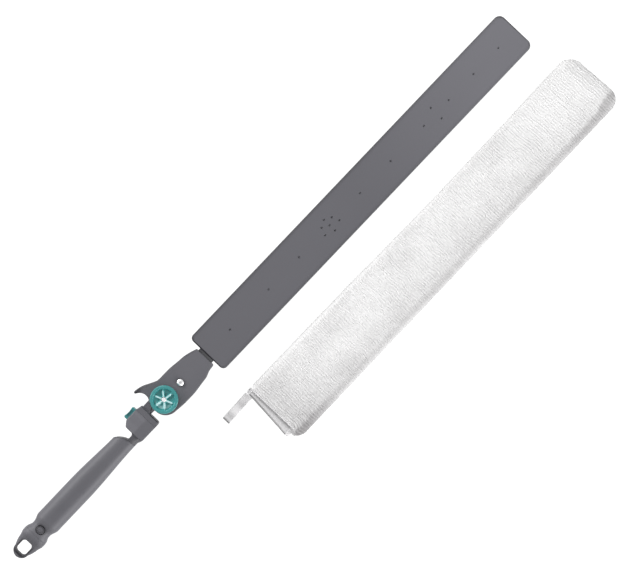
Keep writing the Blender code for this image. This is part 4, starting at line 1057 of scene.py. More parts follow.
def spaced(line: np.ndarray, count: int) -> np.ndarray:
    """Space points evenly along a closed line.

    Args:
        line: Array of N by 2 points, without the first again at its end.
        count: Number of points wanted.

    Returns:
        Array of count by 2 points.
    """
    line = np.concatenate((line, line[:1]))
    far = np.concatenate(([0.0], np.cumsum(np.linalg.norm(np.diff(line, axis=0), axis=1))))
    keep = np.concatenate(([True], np.diff(far) > 1e-6))
    even = np.linspace(0.0, far[-1], count, endpoint=False)
    return np.column_stack([np.interp(even, far[keep], line[keep, i]) for i in (0, 1)])


def rounded_prism(name: str, outline: np.ndarray, low: float, high: float, edge: np.ndarray | float,
                  floor_too: bool = True, ease: int = 0) -> bpy.types.Mesh:
    """Raise an outline between two levels and round its end edges by quarter circles.

    The ring at turn t lies edge * (1 - cos t) inside the outline and edge * (1 - sin t) from its end.

    Args:
        name: Name of the mesh.
        outline: Array of N by 2 points.
        low: Level of its floor.
        high: Level of its top.
        edge: Radius of the end edges, one for all points or one for each.
        floor_too: Whether the floor's edge is rounded as well.
        ease: How often the inward directions are averaged with their neighbours.

    Returns:
        The closed mesh.
    """
    along = np.roll(outline, -1, axis=0) - np.roll(outline, 1, axis=0)
    ahead = np.roll(outline, -1, axis=0)
    turned = np.sign((outline[:, 0] * ahead[:, 1] - ahead[:, 0] * outline[:, 1]).sum())
    inward = np.column_stack((-along[:, 1], along[:, 0])) * turned
    inward /= np.linalg.norm(inward, axis=1, keepdims=True)
    for _ in range(ease):
        inward = (np.roll(inward, 1, axis=0) + 2 * inward + np.roll(inward, -1, axis=0)) / 4
    inward /= np.linalg.norm(inward, axis=1, keepdims=True)
    edge = np.broadcast_to(edge, len(outline))
    turns = np.linspace(0.0, np.pi / 2, 8)

    def ring(turn: float, end: float, way: float) -> np.ndarray:
        """Points of the ring at a turn, measured from one end level."""
        flat = outline + inward * (edge * (1 - math.cos(turn)))[:, None]
        return np.column_stack((flat, end + way * edge * (1 - math.sin(turn))))

    if floor_too:
        rings = [ring(turn, low, 1.0) for turn in turns[::-1]]
    else:
        rings = [np.column_stack((outline, np.full(len(outline), low)))]
    rings += [ring(turn, high, -1.0) for turn in turns]
    return tube_mesh(name, rings)


def sliced_block(name: str, outline: np.ndarray, half: float, edge: np.ndarray | float,
                 x_cuts: np.ndarray, y_cuts: np.ndarray) -> bpy.types.Mesh:
    """Raise an outline to both sides of the wand's middle plane, with edges where its tones change.

    Args:
        name: Name of the mesh.
        outline: Array of N by 2 points.
        half: How far it reaches to each side.
        edge: Radius of the end edges, one for all points or one for each.
        x_cuts: X of the edges that are cut into its faces.
        y_cuts: Y of the edges that are cut into its faces.

    Returns:
        The closed mesh.
    """
    mesh = rounded_prism(name, outline, AXIS_HEIGHT - half, AXIS_HEIGHT + half, edge)
    slice_mesh(mesh, 0, x_cuts)
    slice_mesh(mesh, 1, y_cuts)
    return mesh


def circle(centre: tuple[float, float], radius: float, sides: int = 96, turn: float = 0.0) -> np.ndarray:
    """Give points of a circle or regular polygon in plan."""
    return arc(centre, radius, ring_angles(sides, 0.0) + math.radians(turn))


def superoval(angle: np.ndarray, power: float) -> np.ndarray:
    """Give a unit superellipse: |y|^power + |z|^power = 1."""
    flat = np.stack((np.cos(angle), np.sin(angle)), axis=-1)
    return np.sign(flat) * np.abs(flat) ** (2 / power)


def eased_keys(keys: Sequence[tuple[float, ...]], at: np.ndarray) -> np.ndarray:
    """Blend between key rows with the eased share s * s * (3 - 2 * s).

    Args:
        keys: Rows of a place and its values, in rising order of place.
        at: Places, of any shape.

    Returns:
        The values, along a new last axis.
    """
    table = np.asarray(keys, float)
    i = np.clip(np.searchsorted(table[:, 0], at, side="right") - 1, 0, len(table) - 2)
    share = eased(np.clip((at - table[i, 0]) / (table[i + 1, 0] - table[i, 0]), 0.0, 1.0)[..., None])
    return table[i, 1:] * (1 - share) + table[i + 1, 1:] * share


def through_keys(keys: Sequence[tuple[float, ...]], at: np.ndarray) -> np.ndarray:
    """Run a cubic through key rows that doesn't overshoot: slopes are the harmonic means of the rises.

    Args:
        keys: Rows of a place and its values, in rising order of place.
        at: Places along the curve.

    Returns:
        Array of places by values.
    """
    table = np.asarray(keys, float)
    place, value = table[:, 0], table[:, 1:]
    step = np.diff(place)[:, None]
    rise = np.diff(value, axis=0) / step
    same = rise[:-1] * rise[1:] > 0
    slope = np.zeros_like(value)
    slope[0], slope[-1] = rise[0], rise[-1]
    slope[1:-1] = np.where(same, 2 * rise[:-1] * rise[1:] / np.where(same, rise[:-1] + rise[1:], 1.0), 0.0)
    i = np.clip(np.searchsorted(place, at) - 1, 0, len(place) - 2)
    t = ((at - place[i]) / step[i, 0])[:, None]
    rest = 1 - t
    return ((1 + 2 * t) * rest**2 * value[i] + t * rest**2 * step[i] * slope[i]
            + (3 - 2 * t) * t**2 * value[i + 1] - t**2 * rest * step[i] * slope[i + 1])


@dataclass
class GripSkin:
    """The hand grip: a tube with a waist behind, a straight body and a mouth scooped on its upper side.

    Attributes:
        seam: X of its rear end.
        keys: Rows of distance from the seam, width and height.
        power: Squareness of its section.
        bore: Radius of its bore.
        scoop_level: Y where the scoop starts.
        scoop_half: Half width of the mouth.
        scoop_depth: How far the scoop goes back.
        scoop_power: How late it goes back.
        lip: Radius of the mouth's edges.
        seam_lip: Radius of the edge at the seam.
        stages: Distances from the seam where the waist, the straight body and the plain rings end.
        sides: Number of points round it.
        hole_x: X of the snap button's hole.
        hole_radius: Radius of that hole.
        hole_levels: Rows of height and flare of that hole.
    """

    seam: float = -224.02
    keys: tuple = ((0.0, 31.3, 32.6), (7.7, 26.2, 30.0), (10.1, 26.2, 30.0), (21.2, 32.2, 36.0),
                   (76.2, 32.2, 36.0), (158.4, 25.8, 27.0))
    power: float = 2.5
    bore: float = 10.5
    scoop_level: float = -1.4
    scoop_half: float = 12.9
    scoop_depth: float = 9.4
    scoop_power: float = 1.65
    lip: float = 0.7
    seam_lip: float = 0.2
    stages: tuple[float, float, float] = (22.0, 78.0, 120.0)
    sides: int = 200
    hole_x: float = SNAP_X
    hole_radius: float = 5.5
    hole_levels: tuple = ((AXIS_HEIGHT, 0.0), (31.2, 0.0), (32.6, 0.45), (33.6, 1.0), (36.5, 1.9))

    def end_at(self, y: np.ndarray) -> np.ndarray:
        """Distance of the mouth's edge from the seam at a sideways place."""
        share = np.maximum(0.0, (y - self.scoop_level) / (self.scoop_half - self.scoop_level))
        return self.keys[-1][0] - self.scoop_depth * share**self.scoop_power

    def hole_mesh(self) -> bpy.types.Mesh:
        """Shape the snap button's hole, whose rim flares at the top, most across the grip.

        Returns:
            The closed mesh.
        """
        flat = circle((0.0, 0.0), 1.0)
        rings = []
        for level, flare in self.hole_levels:
            x = self.hole_x + 0.2 * flare + flat[:, 0] * (self.hole_radius + 0.2 * flare)
            y = flat[:, 1] * (self.hole_radius + 1.1 * flare)
            rings.append(np.column_stack((x, y, np.full(len(flat), level))))
        return tube_mesh("hole", rings)

    def build(self) -> None:
        """Build the grip as one closed tube: outside, round lip, bore and rear face."""
        angles = ring_angles(self.sides)
        unit, plain = superoval(angles, self.power), arc((0.0, 0.0), 1.0, angles)
        rows: list[np.ndarray] = []

        def ring(distance: np.ndarray, shrink: float) -> None:
            """Add a ring of the outside at a distance for each point, drawn in by a length."""
            size = eased_keys(self.keys, distance) / 2 - shrink
            rows.append(np.column_stack((self.seam + distance, unit * size + (0.0, AXIS_HEIGHT))))

        def bore_ring(distance: np.ndarray, radius: float) -> None:
            """Add a ring of the bore at a distance for each point."""
            rows.append(np.column_stack((self.seam + distance, plain * radius + (0.0, AXIS_HEIGHT))))

        turn = np.linspace(0.0, np.pi / 2, 5)
        for angle in turn[:-1]:
            ring(np.full(self.sides, self.seam_lip * (1 - math.cos(angle))),
                 self.seam_lip * (1 - math.sin(angle)))
        waist, straight, plain_end = self.stages
        body = np.concatenate((np.arange(self.seam_lip, waist, 0.55), np.arange(waist, straight, 4.0),
                               np.linspace(straight, plain_end, 20)))
        for distance in body:
            ring(np.full(self.sides, distance), 0.0)
        start = body[-1]
        for share in np.linspace(0.04, 1.0, 26):
            distance = np.full(self.sides, start)
            for _ in range(3):
                y = unit[:, 0] * eased_keys(self.keys, distance)[:, 0] / 2
                distance = start + (self.end_at(y) - self.lip - start) * share
            ring(distance, 0.0)
        for angle in turn[1:]:
            ring(distance + self.lip * math.sin(angle), self.lip * (1 - math.cos(angle)))
        edge = self.end_at(plain[:, 0] * self.bore)
        soft = self.lip / 2
        bore_ring(edge, self.bore + soft)
        bore_ring(edge - 0.3 * soft, self.bore + 0.3 * soft)
        for share in np.linspace(1.0, 0.0, 11):
            bore_ring((edge - soft) * share, self.bore)
        mesh = grid_mesh("grip_skin", np.array(rows), close_rows=True)
        piece = add_piece(weld(mesh), SHADED_GREY, sharp=40.0)
        cut_with(piece, self.hole_mesh())
        finish_cut(piece, 32.0)
        # Painted shade from the tone, and a faint painted shade on turning edges
        shade_points(piece.data, self.tone, edge=0.04)
        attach(piece, BASE)
        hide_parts("grip")

    def tone(self, points: np.ndarray) -> np.ndarray:
        """Give the lightness: painted shade along the middle, in the snap button's recess and at the mouth's
        lip, and painted light on the lower flank.

        Args:
            points: Array of N by 3 points.

        Returns:
            The lightness of each point.
        """
        x, y, z = points.T
        middle = bell(y, 0.5, 3.6) * soft_step(-212.0, -190.0, x)
        flank = soft_step(-4.0, -9.0, y)
        mouth = self.seam + self.end_at(y)
        lip = soft_step(mouth - 2.4, mouth - 0.8, x) * soft_step(-4.0, -1.0, y)
        ring = np.hypot((x - self.hole_x - 1.2) / 5.4, y / 7.2)
        recess = soft_step(1.3, 0.95, ring) * (z > AXIS_HEIGHT)
        return 0.52 - 0.04 * middle + 0.13 * flank - 0.26 * recess - 0.35 * lip


@dataclass
class CapSkin:
    """The butt cap: a swollen root that thins to a tab with the hanging hole, and its spigot.

    Attributes:
        front: X of its joint with the grip.
        run: Length from there to the round end.
        end_length: Length of the round end.
        root: Width and height at the front.
        tab: Width and height of the tab.
        sections: Rows of the way along the run, and the shares of root over tab in width and height.
        taper: How far the end closes in width.
        thinning: How far it closes in height.
        power: Squareness of its section.
        spigot: Radius and end X of the spigot.
        well: X, radius and floor of the snap button's well.
        hole: Lowest X, highest X, half width and corner radius of the hanging hole.
        hole_levels: Rows of height, how much wider the hole is and how far its butt side slopes back.
        edge: Radius of the front edge.
    """

    front: float = -224.1
    run: float = 25.4
    end_length: float = 10.0
    root: tuple[float, float] = (31.3, 32.6)
    tab: tuple[float, float] = (20.2, 11.0)
    sections: tuple = ((0.0, 1.0, 1.0), (0.1, 1.05, 0.98), (0.24, 1.04, 0.88), (0.34, 0.92, 0.68),
                       (0.47, 0.73, 0.38), (0.63, 0.6, 0.15), (0.82, 0.36, 0.04), (1.0, 0.02, 0.0))
    taper: float = 0.97
    thinning: float = 0.6
    power: float = 2.5
    spigot: tuple[float, float] = (10.2, -199.8)
    well: tuple[float, float, float] = (SNAP_X, 6.5, 12.0)
    hole: tuple[float, float, float, float] = (-252.9, -236.5, 6.95, 4.2)
    hole_levels: tuple = ((0.0, 0.9, 0.0), (12.2, 0.7, 0.0), (12.9, 0.2, 0.0), (14.0, 0.0, 0.0),
                          (22.0, 0.0, 1.5), (23.1, 0.3, 1.9), (23.8, 0.6, 2.1), (36.0, 0.8, 2.1))
    edge: float = 0.2

    def hole_mesh(self) -> bpy.types.Mesh:
        """Shape the hole: round corners, with its rim eased outwards at both faces, most at the butt.

        Returns:
            The closed mesh.
        """
        low, high, half, corner = self.hole
        turn = np.linspace(0.0, np.pi / 2, 12)
        centres = ((high - corner, half - corner), (low + corner, half - corner),
                   (low + corner, corner - half), (high - corner, corner - half))
        flat = np.concatenate([arc(centre, corner, turn + i * np.pi / 2) for i, centre in enumerate(centres)])
        middle = (low + high) / 2
        back = np.clip((middle - flat[:, 0]) / (middle - low), 0.0, 1.0) ** 2
        rings = []
        for level, ease, slope in self.hole_levels:
            x = middle + (flat[:, 0] - middle) * (1 + ease / (high - middle)) - slope * back
            rings.append(np.column_stack((x, flat[:, 1] * (1 + ease / half), np.full(len(flat), level))))
        return tube_mesh("hole", rings)

    def tone(self, points: np.ndarray) -> np.ndarray:
        """Give the cap's lightness: painted shade on the hole's walls, most at the butt.

        Args:
            points: Array of N by 3 points.

        Returns:
            The lightness of each point.
        """
        x, y, _ = points.T
        low, high, half, _ = self.hole
        over = np.maximum(np.maximum(low - x, x - high), np.abs(y) - half)
        wall = soft_step(3.0, 1.6, over) * soft_step(high + 1.8, high - 6.0, x)
        butt = soft_step(low + 1.0, low - 0.2, x) * soft_step(half + 0.8, half - 0.6, np.abs(y))
        return 0.57 - 0.55 * wall - 0.57 * butt * soft_step(low - 4.0, low - 3.2, x)

    def build(self) -> None:
        """Build the cap from the butt's pole over its outside to the spigot's pole, and cut its hole."""
        angles = ring_angles(160)
        unit, plain = superoval(angles, self.power), arc((0.0, 0.0), 1.0, angles)
        tab, root = np.array(self.tab), np.array(self.root)
        butt = self.front - self.run
        rows: list[np.ndarray] = []

        def ring(x: float, shape: np.ndarray, size: np.ndarray | float) -> None:
            """Add a section at X: a unit shape times its half sizes."""
            rows.append(np.column_stack((np.full(len(shape), x), shape * size + (0.0, AXIS_HEIGHT))))

        ring(butt - self.end_length, unit, 0.0)
        for turn in np.linspace(np.pi / 2, 0.0, 26):
            share = 1 - (1 - math.cos(turn)) * self.taper
            ring(butt - self.end_length * math.sin(turn), unit,
                 tab / 2 * (share, 1 - self.thinning * (1 - share)))
        ways = np.linspace(0.98, 0.0, 50)
        for way, share in zip(ways, through_keys(self.sections, ways)):
            ring(self.front - self.run * way - self.edge * (way == 0.0), unit,
                 (tab + (root - tab) * share) / 2)
        for turn in np.linspace(0.3, 1.0, 4) * np.pi / 2:
            ring(self.front - self.edge * (1 - math.sin(turn)), unit,
                 root / 2 - self.edge * (1 - math.cos(turn)))
        radius, far = self.spigot
        for x, reach in ((self.front, radius), (self.front + 8.0, radius), (far - 0.8, radius),
                         (far, radius - 0.8), (far, 0.0)):
            ring(x, plain, reach)
        piece = add_piece(weld(grid_mesh("cap_skin", np.array(rows))), SHADED_GREY, sharp=40.0)
        cut_with(piece, self.hole_mesh())
        x, reach, floor = self.well
        cut_with(piece, prism_mesh(circle((x, 0.0), reach), floor, CLEAR))
        finish_cut(piece, 35.0)
        # Painted shade from the tone, and a faint painted shade on turning edges
        shade_points(piece.data, self.tone, edge=0.05)
        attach(piece, BASE)
        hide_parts("hanger_cap")


@dataclass
class SnapButton:
    """The small round button in the grip's waist: a flange below and a soft dished top.

    Attributes:
        x: X of its axis.
        profile: Radius and height from axis to axis.
    """

    x: float = SNAP_X
    profile: tuple = ((0.0, 23.9), (6.2, 23.9), (6.2, 25.7), (5.2, 25.7), (5.2, 33.1), (4.75, 33.5),
                      (4.3, 33.2), (3.5, 32.95), (2.6, 33.3), (1.2, 33.5), (0.0, 33.5))

    def tone(self, points: np.ndarray) -> np.ndarray:
        """Give the lightness: painted shade towards the button's rim."""
        far = np.hypot(points[:, 0] - self.x, points[:, 1] / 1.2)
        return 0.42 - 0.3 * soft_step(1.8, 4.2, far)

    def build(self) -> None:
        """Turn the button round its axis."""
        mesh = lathe("snap_button_skin", rounded(self.profile, 0.5), self.x)
        piece = add_piece(mesh, SHADED_GREY, sharp=50.0)
        shade_points(mesh, self.tone)
        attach(piece, "snap_button")
        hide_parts("snap_button")


class Side(Enum):
    """The two halves of the head, by the way each one faces."""

    FRONT = 1.0
    REAR = -1.0


@dataclass
class HeadCheek:
    """One half of the head: a claw above its round rear end, and a snout that thins towards the blade.

    Attributes:
        side: Which half it is.
        end: X of the snout's end.
        upper: Rows of X and Y along the upper side.
        lower: Rows of X and Y along the lower side.
        corner: Radius of the snout's corners.
        rear: Start and end angle of the rear end, and its radius at each.
        cut: Centre, radius, start and end angle of the claw's hollow.
        tip: Centre, radius, start and end angle of the claw's tip.
        bow: Bow and sway of the claw's back.
        edge: Radius of its outer edge.
        outer: Distance of its outer face from the middle plane.
        inner: Depth of the tongue's room from the middle plane.
        gap: Distance of its parting face from the middle plane.
        taper_start: X where it starts to thin.
        taper: How much it has thinned at its end.
        crown: How much lower its outer face is at its sides.
        sector: Radius, sides, and first and last side of the slot that the tongue swings in.
        eye_room: Radius of the room for the tongue's eye.
        channel: Start, end, half width and depth of the channel for the blade's tang.
        screw_bore: Radius of the clamp screw's bore.
        screw_nut: Width across flats of the clamp nut, and the floor of its pocket.
        bolt_pocket: Floor of the pocket of the pivot bolt's head.
        brow: X and Y of the line along which painted shade darkens the upper edge.
    """

    side: Side
    end: float = 70.0
    upper: tuple = ((9.5, 21.8), (16.0, 21.25), (27.0, 21.2), (44.0, 19.5), (52.5, 18.65), (61.0, 16.7),
                    (68.2, 14.2))
    lower: tuple = ((-2.07, -19.69), (16.0, -21.2), (27.0, -21.2), (44.0, -19.5), (52.5, -18.5),
                    (61.0, -15.6), (68.2, -14.7))
    corner: float = 1.8
    rear: tuple[float, float, float, float] = (264.0, 176.0, 19.8, 17.0)
    cut: tuple[float, float, float, float, float] = (-23.2, 19.0, 11.3, -48.0, 64.0)
    tip: tuple[float, float, float, float, float] = (-18.0, 30.9, 1.8, 215.0, 80.0)
    bow: tuple[float, float] = (1.6, 0.5)
    edge: float = 1.5
    outer: float = 11.0
    inner: float = 5.1
    gap: float = 0.15
    taper_start: float = 34.0
    taper: float = 0.364
    crown: float = 0.9
    sector: tuple[float, int, int, int] = (24.0, 361, 96, 285)
    eye_room: float = 13.5
    channel: tuple[float, float, float, float] = (18.7, 75.0, 11.3, 1.2)
    screw_bore: float = 2.2
    screw_nut: tuple[float, float] = (7.6, 7.7)
    bolt_pocket: float = 6.9
    brow: tuple = ((-18.0, -8.0, 0.0, 9.5, 30.0, 52.0, 68.0), (32.4, 30.0, 26.2, 21.8, 21.2, 18.6, 14.4))

    def outline(self) -> np.ndarray:
        """Trace the plan outline and space its points evenly, with its joins eased.

        Returns:
            Array of N by 2 points, clockwise.
        """
        def turned(centre: Sequence[float], radius: np.ndarray | float, start: float, end: float,
                   count: int) -> np.ndarray:
            """Points of an arc from its start angle to its end angle, in degrees."""
            return arc(centre, radius, np.radians(np.linspace(start, end, count)))

        corner = self.corner
        low_x = np.linspace(self.lower[0][0], self.lower[-1][0], 90)
        high_x = np.linspace(self.upper[0][0], self.upper[-1][0], 80)
        low_side = np.column_stack((low_x, through_keys(self.lower, low_x)))[::-1]
        high_side = np.column_stack((high_x, through_keys(self.upper, high_x)))
        share = np.linspace(0.0, 1.0, 90)
        start, end, first, last = self.rear
        round_end = turned((0.0, 0.0), first + (last - first) * share**2, start, end, 90)
        hollow = turned(self.cut[:2], *self.cut[2:], 40)
        tip = turned(self.tip[:2], *self.tip[2:], 14)
        share = np.linspace(0.0, 1.0, 50)[1:-1]
        bow = self.bow[0] * np.sin(np.pi * share) + self.bow[1] * np.sin(2 * np.pi * share)
        top = np.array((self.tip[0], self.tip[1] + self.tip[2]))
        back = top + (np.array(self.upper[0]) - top) * share[:, None] + np.column_stack((0 * bow, bow))
        foot = turned((self.end - corner, self.lower[-1][1] + corner), corner, 0.0, -90.0, 8)
        brow = turned((self.end - corner, self.upper[-1][1] - corner), corner, 90.0, 0.0, 8)
        line = spaced(np.concatenate((foot, low_side, round_end, hollow, tip, back, high_side, brow)), 460)
        for _ in range(2):
            line = (np.roll(line, 1, axis=0) + 2 * line + np.roll(line, -1, axis=0)) / 4
        return line

    def place(self, points: np.ndarray) -> np.ndarray:
        """Thin and crown the blank: z = z * (1 - taper * s^1.3) - crown * (y / 21)^2 by share of height.

        Args:
            points: Array of N by 3, with z measured from the middle plane.

        Returns:
            The points in the wand's frame, turned over for the rear half.
        """
        x, y, z = points.T
        share = np.clip((x - self.taper_start) / (self.end - self.taper_start), 0.0, 1.0) ** 1.3
        high = np.clip(z / self.outer, 0.0, 1.0)
        level = z * (1 - self.taper * share * high) - self.crown * (y / 21.0) ** 2 * high
        return np.column_stack((x, y, AXIS_HEIGHT + self.side.value * level))

    def tone(self, points: np.ndarray) -> np.ndarray:
        """Give the half's lightness: painted shade on the claw, darkest at its tip, round the screw, beside
        the pivot and along the upper edge.

        Args:
            points: Array of N by 3 points.

        Returns:
            The lightness of each point.
        """
        x, y, _ = points.T
        claw = soft_step(19.0, 26.0, y)
        tip = soft_step(24.5, 28.5, y) * soft_step(-9.0, -14.5, x)
        ring = soft_step(1.6, 0.3, np.abs(np.hypot(x - SCREW_X, y) - 4.6))
        shadow = soft_step(19.5, 16.0, np.hypot(x, y)) * soft_step(4.0, -4.0, x + y)
        rise = np.interp(x, *self.brow)
        brow = soft_step(rise - 1.9, rise - 0.7, y)
        return 0.53 - 0.04 * claw - 0.45 * tip - 0.2 * ring - 0.1 * shadow - 0.25 * brow

    def take_out(self, piece: bpy.types.Object, outline: np.ndarray, low: float, high: float = 14.0) -> None:
        """Cut an outline out of the half, between two distances from the middle plane on its side."""
        levels = sorted(AXIS_HEIGHT + self.side.value * level for level in (low, high))
        cut_with(piece, prism_mesh(outline, *levels))

    def build(self) -> None:
        """Build the half, with the tongue's slot and room, the tang's channel and the two bores."""
        name = f"head_skin_{self.side.name.lower()}"
        mesh = rounded_prism(name, self.outline(), self.gap, self.outer, self.edge, floor_too=False, ease=3)
        slice_mesh(mesh, 0, np.arange(-18.0, 69.0, 2.5))
        slice_mesh(mesh, 1, np.arange(-18.0, 31.0, 2.5))
        move_points(mesh, self.place)
        piece = add_piece(mesh, SHADED_GREY, sharp=35.0)
        pivot, screw = (0.0, 0.0), (SCREW_X, 0.0)
        reach, sides, first, last = self.sector
        through = -1.0
        fan = np.concatenate((np.zeros((1, 2)), circle(pivot, reach, sides)[first:last]))
        self.take_out(piece, fan, through, self.inner)
        self.take_out(piece, circle(pivot, self.eye_room), through, self.inner)
        start, end, half, depth = self.channel
        self.take_out(piece, rectangle((start, -half), (end, half)), through, depth)
        self.take_out(piece, circle(pivot, BOLT_BORE), through)
        self.take_out(piece, circle(screw, self.screw_bore), through)
        if self.side is Side.REAR:
            flats, floor = self.screw_nut
            self.take_out(piece, circle(pivot, BOLT_FLATS / math.sqrt(3), 6), self.bolt_pocket)
            self.take_out(piece, circle(screw, flats / math.sqrt(3), 6), floor)
        finish_cut(piece, 35.0)
        # Painted light and shade from the tone, and a strong painted shade on turning edges
        shade_points(piece.data, self.tone, edge=0.42)
        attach(piece, "head")
        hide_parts(f"head_{self.side.name.lower()}_cheek")


@dataclass
class SocketSkin:
    """The neck and block that take the head's plug: an offset neck on a spigot, and a block with a shoulder.

    Attributes:
        back: X of the block's rear side.
        front: X of its front side.
        levels: Y of its lower and its upper side.
        shoulder: Length and drop of the slanted shoulder behind its upper side.
        depth: Half its depth.
        edge: Radius of its long edges, and what is left of it at the seam.
        neck: X and half width and height of the neck at the grip's mouth.
        flare: Start of the neck's flare, its share of width below, and its share of height.
        spigot: Radius and rear end of the spigot.
        notch: Level and corner radius of the notch above the neck.
        notch_top: Y to which the notch is cut.
        rooms: Two opposite corners and half depth of the rooms of the plug, the button and its plate.
        pale_line: X of the painted highlight beside the seam.
        sides: Number of points round the neck.
    """

    back: float = -56.0
    front: float = -32.16
    levels: tuple[float, float] = (-15.3, 16.2)
    shoulder: tuple[float, float] = (7.0, 5.4)
    depth: float = BLOCK_DEPTH
    edge: tuple[float, float] = (1.4, 0.25)
    neck: tuple[float, float, float] = (-65.56, 12.9, 12.3)
    flare: tuple[float, float, float] = (-61.5, 1.15, 0.93)
    spigot: tuple[float, float] = (10.2, -109.8)
    notch: tuple[float, float] = (-1.4, 3.2)
    notch_top: float = 18.0
    rooms: tuple = (((-54.0, -8.3), (-31.0, 8.3), 6.8), ((-49.0, 10.4), (-31.0, 17.2), 7.3),
                    ((-42.3, -13.1), (-39.2, 14.2), 9.6))
    pale_line: float = -35.6
    sides: int = 120

    def block(self) -> bpy.types.Mesh:
        """Shape the block, with its edges rounded less towards the seam.

        Returns:
            The closed mesh.
        """
        low, high = self.levels
        run, drop = self.shoulder
        upper = rounded(((self.front, high), (self.back + run, high), (self.back, high - drop),
                         (self.back, 0.0)), 1.6)
        lower = rounded(((self.back, 0.0), (self.back, low), (self.front, low)), 2.4)
        line = spaced(np.concatenate((upper, lower[1:])), 300)
        edge, seam = self.edge
        soft = seam + (edge - seam) * soft_step(self.front - 0.4, self.front - 3.4, line[:, 0])
        return sliced_block("socket_skin", line, self.depth, soft,
                            np.arange(self.back + 1.0, self.front, 1.0), np.arange(low + 1.3, high, 1.4))

    def neck_mesh(self) -> bpy.types.Mesh:
        """Shape the neck: superoval sections that widen below and flatten towards the block.

        Returns:
            The closed mesh.
        """
        start, wide, high = self.neck
        flare, below, flat = self.flare
        unit = superoval(ring_angles(self.sides), 2.5)
        rings = []
        for x in np.linspace(start, self.back + 1.5, 22):
            share = float(soft_step(flare, self.back, np.array(x)))
            y = unit[:, 0] * wide * np.where(unit[:, 0] < 0.0, 1 + (below - 1) * share, 1 - 0.2 * share)
            z = unit[:, 1] * high * (1 + (flat - 1) * share)
            rings.append(np.column_stack((np.full(self.sides, x), y, AXIS_HEIGHT + z)))
        return tube_mesh("neck", rings)

    def notch_line(self) -> np.ndarray:
        """Trace the notch: down the grip's scooped mouth, round two corners and up the block.

        Returns:
            Array of N by 2 points.
        """
        grip = GripSkin()
        floor, corner = self.notch
        y = np.linspace(self.notch_top, floor + corner, 14)
        mouth = grip.seam + grip.end_at(y)
        turn = np.linspace(0.0, np.pi / 2, 9)[1:]
        left = np.column_stack((mouth[-1] + corner * (1 - np.cos(turn)), floor + corner * (1 - np.sin(turn))))
        right = np.column_stack((self.back - corner + corner * np.sin(turn),
                                 floor + corner * (1 - np.cos(turn))))
        return np.concatenate((np.column_stack((mouth, y)), left, right, ((self.back, self.notch_top),)))

    def tone(self, points: np.ndarray) -> np.ndarray:
        """Give the lightness: painted light on the upper part, most at its rear, a painted highlight beside
        the seam, and painted shade on the neck.

        Args:
            points: Array of N by 3 points.

        Returns:
            The lightness of each point.
        """
        x, y, _ = points.T
        upper = soft_step(-2.4, 0.4, y)
        rear = soft_step(-45.2, -47.6, x) * soft_step(self.back - 0.5, self.back + 0.8, x)
        line = bell(x, self.pale_line, 1.1)
        neck = soft_step(self.back + 0.3, self.back - 0.5, x) * soft_step(-13.2, -8.0, y)
        return 0.53 + upper * (0.13 + 0.06 * rear + 0.08 * line) * (1 - neck) - 0.27 * neck

    def build(self) -> None:
        """Join the block, the neck and the spigot, and cut the notch and the plug's and plate's rooms."""
        piece = add_piece(self.block(), SHADED_GREY)
        cut_with(piece, self.neck_mesh(), "UNION")
        radius, rear = self.spigot
        spigot = prism_mesh(circle((0.0, AXIS_HEIGHT), radius), rear, self.back + 1.0, axis=0)
        cut_with(piece, spigot, "UNION")
        cut_with(piece, prism_mesh(self.notch_line(), -1.0, CLEAR))
        for low, high, half in self.rooms:
            cut_with(piece, prism_mesh(rectangle(low, high), AXIS_HEIGHT - half, AXIS_HEIGHT + half))
        finish_cut(piece, 35.0)
        # Painted light and shade from the tone, and painted shade on turning edges
        shade_points(piece.data, self.tone, edge=0.14)
        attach(piece, BASE)
        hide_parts("socket_body")


